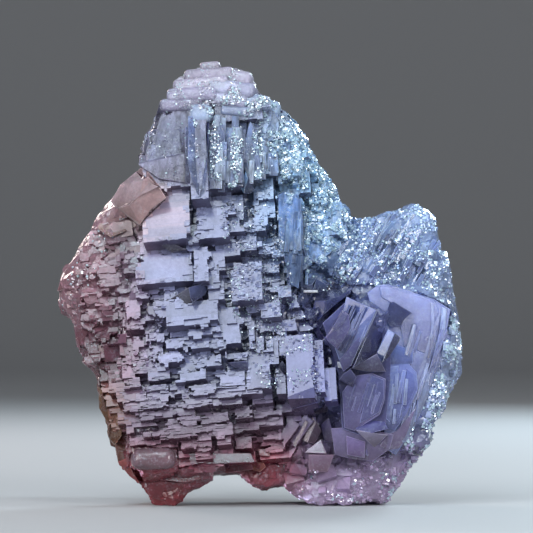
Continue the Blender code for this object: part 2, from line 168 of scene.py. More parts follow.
def paint(piece, colours):
    """A colour for each face, which the material reads as tint."""
    layer = piece.data.attributes.new("tint", "FLOAT_COLOR", "FACE")
    values = np.ones((len(piece.data.polygons), 4))
    values[:, :3] = colours
    layer.data.foreach_set("color", values.ravel())


def face_centres(piece):
    return read(piece.data.polygons, "center") / MM


def face_normals(piece):
    return read(piece.data.polygons, "normal")


def placed(name, mesh):
    """A piece of this mesh, which rides with the specimen."""
    piece = bpy.data.objects.new(name, mesh)
    bpy.context.scene.collection.objects.link(piece)
    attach(piece, "root")
    return piece


def new_piece(name, points, faces):
    """A flat-shaded piece of points in millimetres."""
    mesh = bpy.data.meshes.new(name)
    points = np.asarray(points, float) * MM
    faces = np.asarray(faces, np.int32)
    mesh.vertices.add(len(points))
    mesh.vertices.foreach_set("co", points.ravel())
    mesh.loops.add(faces.size)
    mesh.loops.foreach_set("vertex_index", faces.ravel())
    mesh.polygons.add(len(faces))
    mesh.polygons.foreach_set("loop_start", np.arange(0, faces.size, faces.shape[1], dtype=np.int32))
    mesh.shade_flat()
    mesh.update(calc_edges=True)
    mesh.validate()
    return placed(name, mesh)


def shaped_piece(name, shape):
    """A piece of a bmesh, which is used up."""
    mesh = bpy.data.meshes.new(name)
    shape.to_mesh(mesh)
    shape.free()
    return placed(name, mesh)


# The stepped face and the columns above it: a field of small square cells, each a piece of a plane.

CELL = 0.2
HALF = CELL / 2
FIELD_U, FIELD_V = (-44.0, 24.0), (-44.0, 58.0)
ABOVE = 70.0  # higher over the lattice's plane than all the cells
WALL = 0.55  # faces that look less than this towards the plane's front are walls
SAME_SLOPE, SAME_LEVEL = 0.004, 0.15  # triangles as near as this are parts of one plane
FRONT_ONLY = -1.0  # cells farther back than this y aren't shown
SKIRT = 3.0
SAME = 0.02  # heights closer than this meet without a wall
STEP, HIDDEN = 0.25, -50.0  # neighbours this far apart make a step, and cells not shown count as this low
TONES, TONE_SPREAD, TONE_LIMITS = 997, 0.13, (0.65, 1.35)  # how many tones planes take, and how they differ
RISER = 0.5  # faces that look less than this to the front are the sides of steps
RISER_PAINTED_SHADE = np.array((0.50, 0.42, 0.44))  # the colour of a step's side, as a share of its face's: painted shade in the steps
FLANK_PAINTED_SHADE = np.array((0.84, 0.72, 0.74))  # the same painted shade, lighter, on the broken flank's steps
CALM_AREA = 9.0  # faces larger than this, in square millimetres, stay nearly clear of small blocks
CALM_EDGE, CALM_SHARE = 0.5, 0.97  # except this close to their edges, and how many of the blocks are left out
# Sizes of the small blocks, and how many for each square millimetre.
BLOCK_SIZES = ((2.6, 0.10), (1.7, 0.22), (1.1, 0.45), (0.7, 0.8), (0.45, 0.9))
REACH = 2.2  # a block covers only cells less than this above or below it
STEP_SHARE, STEP_MARGIN = 0.55, 0.1  # blocks lie as near a step as this share of their size, and this
CALM_CELLS, BLOCK_CELLS = 6, 12  # how many cells from a step are looked at
BLOCK_LEAN, FROSTED_LEAN = 0.012, 0.12
# Blocks by where they lie: how many are left out, and ranges for width, height and standing out, as shares of
# their size.
TOP_LEDGES = (0.5, (1.5, 4.0), (0.4, 0.8), (-0.08, 0.24))
COLUMNS = (0.85, (0.4, 0.9), (1.5, 4.0), (-0.10, 0.10))
LOW_COURSES = (0.0, (1.0, 2.6), (0.35, 0.7), (-0.22, 0.26))
STEPS = (0.0, (0.5, 1.6), (0.5, 1.2), (-0.22, 0.26))
# Where each kind lies: z, z, x and z.
LEDGES_ABOVE, COLUMNS_ABOVE, COLUMNS_RIGHT_OF, COURSES_BELOW = 87, 69, 4.5, 29

# Where the lattice of steps shows, from the front: x, z.
STEPPED = [
    (-28, 100), (2, 100), (9, 89), (16, 78), (22, 66), (20.5, 61.5), (17.4, 56.7), (13, 53.2), (8.6, 51),
    (8.2, 44.8), (11.2, 39.3), (14.3, 36.4), (17.2, 30.7), (17.2, 22.8), (13, 22.4), (12.5, 18.4), (9, 14),
    (6, 9.2), (0.7, 9.2), (-5.3, 9), (-13, 9), (-17.4, 8.3), (-17.4, 13), (-27.7, 13), (-31, 14),
    (-33.2, 20.6), (-34.7, 27.2), (-32.4, 30.5), (-31, 34.9), (-29.3, 40.4), (-29.7, 44.8), (-27.5, 51.4),
    (-26.6, 57), (-26, 61), (-23.5, 63.5), (-20.3, 66.6), (-24, 71.2), (-26.4, 73), (-30, 80),
]
# The broken flank beside it, in the photograph's pixels, and its facets: how many for each square millimetre,
# how wide and high they are, how far they stand out and how much they lean.
BROKEN = [
    (92, 234), (112, 240), (131, 229), (137, 240), (140, 262), (128, 300), (122, 330), (118, 345), (119, 381),
    (104, 380), (99, 366), (88, 350), (84, 330), (82, 312), (84, 290), (86, 262),
]
FACETS = (
    (0.30, (2.0, 4.4), (1.2, 3.0), (-0.1, 0.35), 0.13),
    (0.45, (0.8, 2.4), (0.5, 1.5), (-0.15, 0.2), 0.10),
)
# Rough patches of very small crystals: centre x, z, reach across and up, how many for each square millimetre.
FROSTED = (
    (-2.6, 49.0, 3.6, 4.6, 3.0), (-6.4, 62.6, 2.0, 4.0, 2.5), (12.9, 30.6, 1.4, 6.0, 4.0),
    (3.0, 53.5, 3.0, 3.0, 2.5), (4.6, 42.0, 3.0, 5.0, 2.5), (-3.6, 34.4, 3.0, 2.6, 2.0),
    (2.2, 30.5, 1.5, 4.5, 2.5), (-12.6, 64.4, 1.6, 3.6, 2.5), (-2.0, 57.5, 5.0, 1.6, 2.0),
    (-27.0, 49.0, 2.6, 3.0, 1.5), (-23.0, 39.6, 4.0, 2.0, 1.5), (-20.0, 24.0, 6.0, 3.0, 1.5),
    (0.0, 20.5, 10.0, 1.2, 2.0), (-26.0, 31.5, 4.0, 3.0, 1.5), (-8.0, 13.0, 9.0, 3.0, 1.0),
)
FROSTED_SIZES = ((0.2, 0.7), (0.2, 0.6), (-0.2, 0.22))  # ranges for width, height and standing out


def kind_of_block(x, z):
    if z > LEDGES_ABOVE:
        return TOP_LEDGES
    if z > COLUMNS_ABOVE or x > COLUMNS_RIGHT_OF:
        return COLUMNS
    return LOW_COURSES if z < COURSES_BELOW else STEPS


def cast_field(solid):
    """Height above the lattice plane, slopes and plane number of every cell, from the solid under it."""
    u = np.arange(FIELD_U[0] + HALF, FIELD_U[1], CELL)
    v = np.arange(FIELD_V[0] + HALF, FIELD_V[1], CELL)
    shape = (len(v), len(u))
    height, slope_u, slope_v = np.full(shape, np.nan), np.zeros(shape), np.zeros(shape)
    plane = np.zeros(shape, np.int64)
    towards = Vector(-N)
    for i, above in enumerate(v):
        for j, across in enumerate(u):
            start = MIDDLE + across * U + above * V + ABOVE * N
            place, normal, face, distance = solid.tree.ray_cast(Vector(start), towards)
            if place is None:
                continue
            height[i, j] = ABOVE - distance
            plane[i, j] = face + 1
            lean = np.array(normal)
            rise = lean @ N
            if rise > WALL:
                slope_u[i, j], slope_v[i, j] = -(lean @ U) / rise, -(lean @ V) / rise
            else:
                plane[i, j] = -(i * len(u) + j) - 1
    across, above = np.meshgrid(u, v)
    level = height - slope_u * across - slope_v * above
    flat = plane > 0
    slopes = slope_u[flat] / SAME_SLOPE, slope_v[flat] / SAME_SLOPE
    kinds = np.stack([*slopes, level[flat] / SAME_LEVEL], 1).round()
    plane[flat] = np.unique(kinds, axis=0, return_inverse=True)[1].ravel() + 1
    return u, v, height, slope_u, slope_v, plane


def places_of(u, v, height):
    """Where the cells are in the frame, in millimetres."""
    across, above = np.meshgrid(u, v)
    return MIDDLE + across[..., None] * U + above[..., None] * V + height[..., None] * N


def reach_from_steps(height, shown, most):
    """How many cells away the nearest step is, up to most."""
    step = np.zeros(height.shape, bool)
    filled = np.where(shown, height, HIDDEN)
    jump = np.abs(np.diff(filled, axis=0)) > STEP
    step[1:] |= jump
    step[:-1] |= jump
    jump = np.abs(np.diff(filled, axis=1)) > STEP
    step[:, 1:] |= jump
    step[:, :-1] |= jump
    reach = np.where(step, 0, most)
    grown = step
    for distance in range(1, most):
        wider = grown.copy()
        wider[1:] |= grown[:-1]
        wider[:-1] |= grown[1:]
        wider[:, 1:] |= grown[:, :-1]
        wider[:, :-1] |= grown[:, 1:]
        reach[wider & ~grown] = distance
        grown = wider
    return reach


def lay_bricks(field, rng):
    """Smaller and smaller blocks along the steps, then the facets of the flank and the rough patches."""
    u, v, height, slope_u, slope_v, plane, shown = field
    rows, columns = height.shape
    next_plane = plane.max() + 1

    def lay(i, j, wide, high, out, lean):
        nonlocal next_plane
        level = height[i, j] + out
        half_w, half_h = max(int(wide / CELL / 2), 0), max(int(high / CELL / 2), 0)
        i0, i1 = max(i - half_h, 0), min(i + half_h + 1, rows)
        j0, j1 = max(j - half_w, 0), min(j + half_w + 1, columns)
        lean_u, lean_v = rng.normal(0, lean, 2)
        ii, jj = np.mgrid[i0:i1, j0:j1]
        part = (slice(i0, i1), slice(j0, j1))
        near = np.abs(height[part] - level) < REACH
        laid = level + (jj - j) * CELL * lean_u + (ii - i) * CELL * lean_v
        for values, new in ((height, laid), (slope_u, lean_u), (slope_v, lean_v), (plane, next_plane)):
            values[part] = np.where(near, new, values[part])
        next_plane += 1

    def some(of, amount):
        """Random ones of these cells, so many for each square millimetre."""
        return of[rng.integers(0, len(of), int(len(of) * CELL**2 * amount))]

    cells = np.argwhere(shown)
    place = places_of(u, v, height)
    x, z = place[..., 0], place[..., 2]
    _, number, amount_of = np.unique(plane, return_inverse=True, return_counts=True)
    wide_plane = amount_of[number].reshape(plane.shape) * CELL**2 > CALM_AREA
    calm = wide_plane & (reach_from_steps(height, shown, CALM_CELLS) * CELL > CALM_EDGE)
    for size, amount in BLOCK_SIZES:
        reach = reach_from_steps(height, shown, BLOCK_CELLS)
        for i, j in some(cells, amount):
            far = reach[i, j] * CELL > STEP_SHARE * size + STEP_MARGIN
            if far or calm[i, j] and rng.random() < CALM_SHARE:
                continue
            left_out, wide, high, out = kind_of_block(x[i, j], z[i, j])
            if left_out and rng.random() < left_out:
                continue
            lay(i, j, *(size * rng.uniform(*bounds) for bounds in (wide, high, out)), BLOCK_LEAN)
    broken = np.argwhere(shown & inside(spots(BROKEN), x, z))
    for amount, wide, high, out, lean in FACETS:
        for i, j in some(broken, amount):
            lay(i, j, rng.uniform(*wide), rng.uniform(*high), rng.uniform(*out), lean)
    for middle_x, middle_z, across, up, amount in FROSTED:
        share = ((x - middle_x) / across) ** 2 + ((z - middle_z) / up) ** 2
        patch = np.argwhere(shown & (share < 1))
        if not len(patch):
            continue
        for i, j in some(patch, amount):
            lay(i, j, *(rng.uniform(*bounds) for bounds in FROSTED_SIZES), FROSTED_LEAN)


def field_mesh(field, first, last):
    """Points and four-cornered faces of the cells in these rows, with walls where their heights differ."""
    u, v, height, slope_u, slope_v, plane, shown = field
    quads, numbers = [], []
    open_runs = {}

    def corner(i, j, to_u, to_v):
        """Height at a cell's corner, to_u and to_v half cells from its middle."""
        return height[i, j] + (slope_u[i, j] * to_u + slope_v[i, j] * to_v) * CELL / 2

    def close(run, top):
        j0, j1, bottom = run
        left, right = u[j0] - HALF, u[j1] + HALF
        low, high = v[bottom] - HALF, v[top] + HALF
        a, b = corner(bottom, j0, -1, -1), corner(bottom, j1, 1, -1)
        c, d = corner(top, j1, 1, 1), corner(top, j0, -1, 1)
        quads.append(((left, low, a), (right, low, b), (right, high, c), (left, high, d)))
        numbers.append(plane[bottom, j0])

    def wall(cell, other, ends, other_ends, start, end, upright):
        """A wall between two cells of unlike height, or down from the only one of them that is shown."""
        here, there = shown[cell], min(other) >= 0 and shown[other]
        if not (here or there) or here and there and plane[cell] == plane[other]:
            return
        own = [corner(*cell, *to) for to in ends] if here else [height[other] - SKIRT] * 2
        far = [corner(*other, *to) for to in other_ends] if there else [height[cell] - SKIRT] * 2
        if max(abs(own[0] - far[0]), abs(own[1] - far[1])) > SAME:
            a, b, c, d = (*start, far[0]), (*end, far[1]), (*end, own[1]), (*start, own[0])
            quads.append((a, d, c, b) if upright else (a, b, c, d))

    for i in range(first, last):
        runs = {}
        key = np.where(shown[i], plane[i], 0)
        edges = np.flatnonzero(np.diff(key)) + 1
        for start, end in zip(np.r_[0, edges], np.r_[edges, len(key)]):
            if key[start] != 0:
                runs[(start, end - 1, key[start])] = i
        for found in list(open_runs):
            if found not in runs:
                close((found[0], found[1], open_runs.pop(found)), i - 1)
        for found in runs:
            open_runs.setdefault(found, i)
    for found, bottom in open_runs.items():
        close((found[0], found[1], bottom), last - 1)
    low_side, high_side = ((-1, -1), (1, -1)), ((-1, 1), (1, 1))
    left_side, right_side = ((-1, -1), (-1, 1)), ((1, -1), (1, 1))
    for i in range(first, last):
        for j in range(len(u)):
            left, right, low, high = u[j] - HALF, u[j] + HALF, v[i] - HALF, v[i] + HALF
            start = (left, low)
            wall((i, j), (i - 1, j), low_side, high_side, start, (right, low), False)
            wall((i, j), (i, j - 1), left_side, right_side, start, (left, high), True)
    numbers += [0] * (len(quads) - len(numbers))
    corners = np.array(quads).reshape(-1, 3)
    points = MIDDLE + corners[:, :1] * U + corners[:, 1:2] * V + corners[:, 2:] * N
    return points, np.arange(len(points)).reshape(-1, 4), np.array(numbers)


def stepped_pieces(solid):
    rng = np.random.default_rng(SEED)
    u, v, height, slope_u, slope_v, plane = cast_field(solid)
    place = places_of(u, v, np.nan_to_num(height))
    broken = inside(spots(BROKEN), place[..., 0], place[..., 2])
    stepped = inside(STEPPED, place[..., 0], place[..., 2])
    shown = ~np.isnan(height) & (stepped | broken) & (place[..., 1] < FRONT_ONLY)
    field = (u, v, height, slope_u, slope_v, plane, shown)
    lay_bricks(field, rng)
    third = len(v) // 3
    made = []
    parts = (("low_courses", 0, third), ("stepped_face", third, 2 * third), ("columns", 2 * third, len(v)))
    for name, first, last in parts:
        points, faces, numbers = field_mesh(field, first, last)
        piece = new_piece(name, points, faces)
        tones = np.clip(rng.normal(1.0, TONE_SPREAD, TONES), *TONE_LIMITS)
        tones[0] = 1.0
        centres = face_centres(piece)
        colours = zone_colours(centres) * tones[numbers % TONES][:, None]
        risers = (face_normals(piece) @ N) < RISER
        flank = inside(spots(BROKEN), centres[:, 0], centres[:, 2])
        # painted shade: the sides of steps darker than their faces, less so on the broken flank
        colours[risers & ~flank] *= RISER_PAINTED_SHADE
        colours[risers & flank] *= FLANK_PAINTED_SHADE
        paint(piece, colours)
        made.append(piece)
    return made


# The rough mass behind and beside the steps.

VOXEL = 0.55
PLANES = ((5.0, 1.0), (2.2, 0.45))  # how far apart cleavage planes are, and how far they move a point at most
PLANE_SEEDS = 24000  # of these, over the square of how far apart they are, planes are made
PLANE_PULL = 0.8  # how much of the way to its plane a point goes
PLANE_SHARE, OWN_SHARE = 0.7, 0.3  # how much of its lie is a crystal plane's, and how much the surface's
CHOICE_NOISE, LIE_NOISE = 0.06, 0.05
UNDER_STEPS, UNDER_CRYSTALS = 1.6, 1.0  # how far the mass sinks back under crisper pieces
# The part of the right lobe that large crystals cover, in the photograph's pixels.
LOBE = [
    (300, 262), (350, 285), (372, 284), (433, 298), (449, 309), (449, 337), (426, 399), (394, 452),
    (345, 456), (326, 470), (306, 470), (300, 440), (312, 412), (325, 400), (318, 330),
]


def rough_mass(node):
    """The solid with its flat parts broken up along cleavage planes."""
    mesh = node.data.copy()
    mesh.name = "rough_mass"
    piece = bpy.data.objects.new("rough_mass", mesh)
    bpy.context.scene.collection.objects.link(piece)
    remesh = piece.modifiers.new("even faces", "REMESH")
    remesh.mode, remesh.voxel_size = "VOXEL", VOXEL * MM
    settled = bpy.data.meshes.new_from_object(piece.evaluated_get(bpy.context.evaluated_depsgraph_get()))
    piece.modifiers.clear()
    piece.data = settled
    points = read(settled.vertices, "co") / MM
    normals = read(settled.vertices, "normal")
    rng = np.random.default_rng(SEED + 1)
    sides = (-1, 1)
    octahedral = [LATTICE @ np.array((a, b, c)) / math.sqrt(3) for a in sides for b in sides for c in sides]
    cubic = [side * LATTICE[:, k] for k in range(3) for side in sides]
    planes = np.array(octahedral + cubic)
    for spacing, most in PLANES:
        seeds = points[rng.permutation(len(points))[: int(PLANE_SEEDS / spacing**2)]]
        tree = KDTree(len(seeds))
        for k, seed in enumerate(seeds):
            tree.insert(seed, k)
        tree.balance()
        nearest = np.array([tree.find(point)[1] for point in points])
        mean = np.zeros((len(seeds), 3))
        np.add.at(mean, nearest, normals)
        mean /= np.maximum(np.linalg.norm(mean, axis=1), 1e-9)[:, None]
        facing = mean @ planes.T + rng.normal(0, CHOICE_NOISE, (len(seeds), len(planes)))
        chosen = planes[facing.argmax(1)] * PLANE_SHARE + mean * OWN_SHARE
        chosen = chosen + rng.normal(0, LIE_NOISE, mean.shape)
        chosen /= np.linalg.norm(chosen, axis=1)[:, None]
        offset = ((points - seeds[nearest]) * chosen[nearest]).sum(1)
        offset = np.clip(offset, -most, most)
        points = points - offset[:, None] * chosen[nearest] * PLANE_PULL
    covered = ((STEPPED, UNDER_STEPS), (spots(LOBE), UNDER_CRYSTALS), (spots(BROKEN), UNDER_CRYSTALS))
    for outline, depth in covered:
        sunk = inside(outline, points[:, 0], points[:, 2]) & (points[:, 1] < 0)
        points[sunk, 1] += depth
    points[:, 2] = np.maximum(points[:, 2], 0.0)
    settled.vertices.foreach_set("co", (points * MM).ravel())
    settled.update()
    settled.shade_flat()
    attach(piece, "root")
    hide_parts("fluorite")
    return piece


# Small crystals and fragments, scattered over the pieces already made.


def scattered(piece, count, rng, keep):
    """Random places on the piece's faces, evenly by area, with their normals, where keep allows them."""
    mesh = piece.data
    areas = np.array([face.area for face in mesh.polygons])
    tries = rng.choice(len(areas), count, p=areas / areas.sum())
    points = read(mesh.vertices, "co") / MM
    starts = read(mesh.polygons, "loop_start", 1, np.int64)
    corners = read(mesh.loops, "vertex_index", 1, np.int64)
    first, second, fourth = (points[corners[starts[tries] + k]] for k in (0, 1, 3))
    along, across = rng.random((len(tries), 1)), rng.random((len(tries), 1))
    places = first + (second - first) * along + (fourth - first) * across
    normals = face_normals(piece)[tries]
    kept = keep(places, normals)
    return places[kept], normals[kept]


def leaning(count, degrees, rng):
    """Rotations close to the lattice's, as arrays of axes."""
    axes = LATTICE
    for k, angles in enumerate(np.radians(rng.normal(0, degrees, (3, count)))):
        i, j = (k + 1) % 3, (k + 2) % 3
        about = np.zeros((count, 3, 3))
        about[:, k, k] = 1
        about[:, i, i] = about[:, j, j] = np.cos(angles)
        about[:, j, i] = np.sin(angles)
        about[:, i, j] = -np.sin(angles)
        axes = axes @ about
    return axes


CUBE = np.array([(a, b, c) for a in (-0.5, 0.5) for b in (-0.5, 0.5) for c in (-0.5, 0.5)])
CUBE_FACES = np.array([(0, 1, 3, 2), (4, 6, 7, 5), (0, 4, 5, 1), (2, 3, 7, 6), (0, 2, 6, 4), (1, 5, 7, 3)])
CUBE_SUNK, CUBE_OUT = 0.2, 0.25  # how far small cubes sink in and stand out at most, as shares of their size
UNEVEN = (0.75, 1.25)  # how long each of a cube's sides is
FRAGMENT_SUNK, FRAGMENT_SHAPES, FRAGMENT_CUT = 0.34, 8, 0.35  # cut: how much of a corner is off at most
FRAGMENT_SIDES = ((0.7, 1.5), (0.6, 1.0), (0.6, 1.2))


def small_cubes(name, places, normals, sizes, lean, rng, tall=1.0):
    """One mesh of many small cubes, or taller crystals, each partly grown into what it stands on."""
    count = len(places)
    axes = leaning(count, lean, rng)
    sides = sizes[:, None] * rng.uniform(*UNEVEN, (count, 3)) * (1.0, 1.0, tall)
    middles = places + normals * (sizes * rng.uniform(-CUBE_SUNK, CUBE_OUT, count))[:, None]
    corners = np.einsum("nij,nkj->nki", axes, CUBE[None] * sides[:, None]) + middles[:, None]
    faces = CUBE_FACES[None] + (np.arange(count) * 8)[:, None, None]
    return new_piece(name, corners.reshape(-1, 3), faces.reshape(-1, 4))


def fragment_shapes(rng):
    """Hulls of broken crystal, about one millimetre across, as points and triangles."""
    shapes = []
    for _ in range(FRAGMENT_SHAPES):
        shape = bmesh.new()
        for corner in CUBE:
            cut = rng.uniform(0.0, FRAGMENT_CUT)
            for axis in range(3):
                moved = corner.copy()
                moved[axis] *= 1 - 2 * cut
                shape.verts.new(moved)
        made = bmesh.ops.convex_hull(shape, input=shape.verts)
        within = [part for part in made["geom_interior"] if isinstance(part, bmesh.types.BMVert)]
        bmesh.ops.delete(shape, geom=within, context="VERTS")
        bmesh.ops.triangulate(shape, faces=shape.faces)
        bmesh.ops.recalc_face_normals(shape, faces=shape.faces)
        shape.verts.index_update()
        points = np.array([v.co for v in shape.verts])
        faces = np.array([[v.index for v in face.verts] for face in shape.faces])
        shape.free()
        shapes.append((points, faces))
    return shapes


def fragments(name, places, normals, sizes, lean, rng):
    """One mesh of broken fragments lying along the surface."""
    shapes = fragment_shapes(rng)
    axes = leaning(len(places), lean, rng)
    points, faces, total = [], [], 0
    for k, (place, normal, size) in enumerate(zip(places, normals, sizes)):
        shape_points, shape_faces = shapes[k % len(shapes)]
        side = size * np.array([rng.uniform(*bounds) for bounds in FRAGMENT_SIDES])
        points.append((shape_points * side) @ axes[k].T + place - normal * size * FRAGMENT_SUNK)
        faces.append(shape_faces + total)
        total += len(shape_points)
    return new_piece(name, np.vstack(points), np.vstack(faces))


# The large crystals that lie their own way. Each row has the crystal's colour, how far it turns left and
# tilts up, how far it stands out, where its depth is taken if not at its middle, and its corners as the
# photograph shows them, in its pixels.

# The darkest of these is painted shade, for the main cube's shaded side and the slots beside the plate on it.
DEEP_BLUE, SHADOW_COLOUR, GREY, OLIVE = (52, 56, 104), (36, 32, 58), (104, 96, 116), (82, 78, 82)
BEIGE, SMOKE, FROST = (146, 134, 146), (86, 78, 78), (166, 178, 200)
COLUMN_BLUE, COLUMN_GREY = (78, 94, 140), (96, 94, 116)
ROSE, TAN, ORANGE = (118, 76, 86), (142, 114, 88), (150, 96, 76)
# Where crystals of one plane take their depth, in the photograph's pixels.
AT_PLATE, AT_CUBE, AT_WIDE, AT_BLUE = (424, 340), (363, 337), (362, 400), (398, 390)
AT_PYRAMID, AT_CORNER, AT_LIGHT = (370, 430), (312, 286), (386, 342)
AT_BLOCK, AT_DIAMOND, AT_COLUMN = (145, 190), (246, 182), (236, 150)

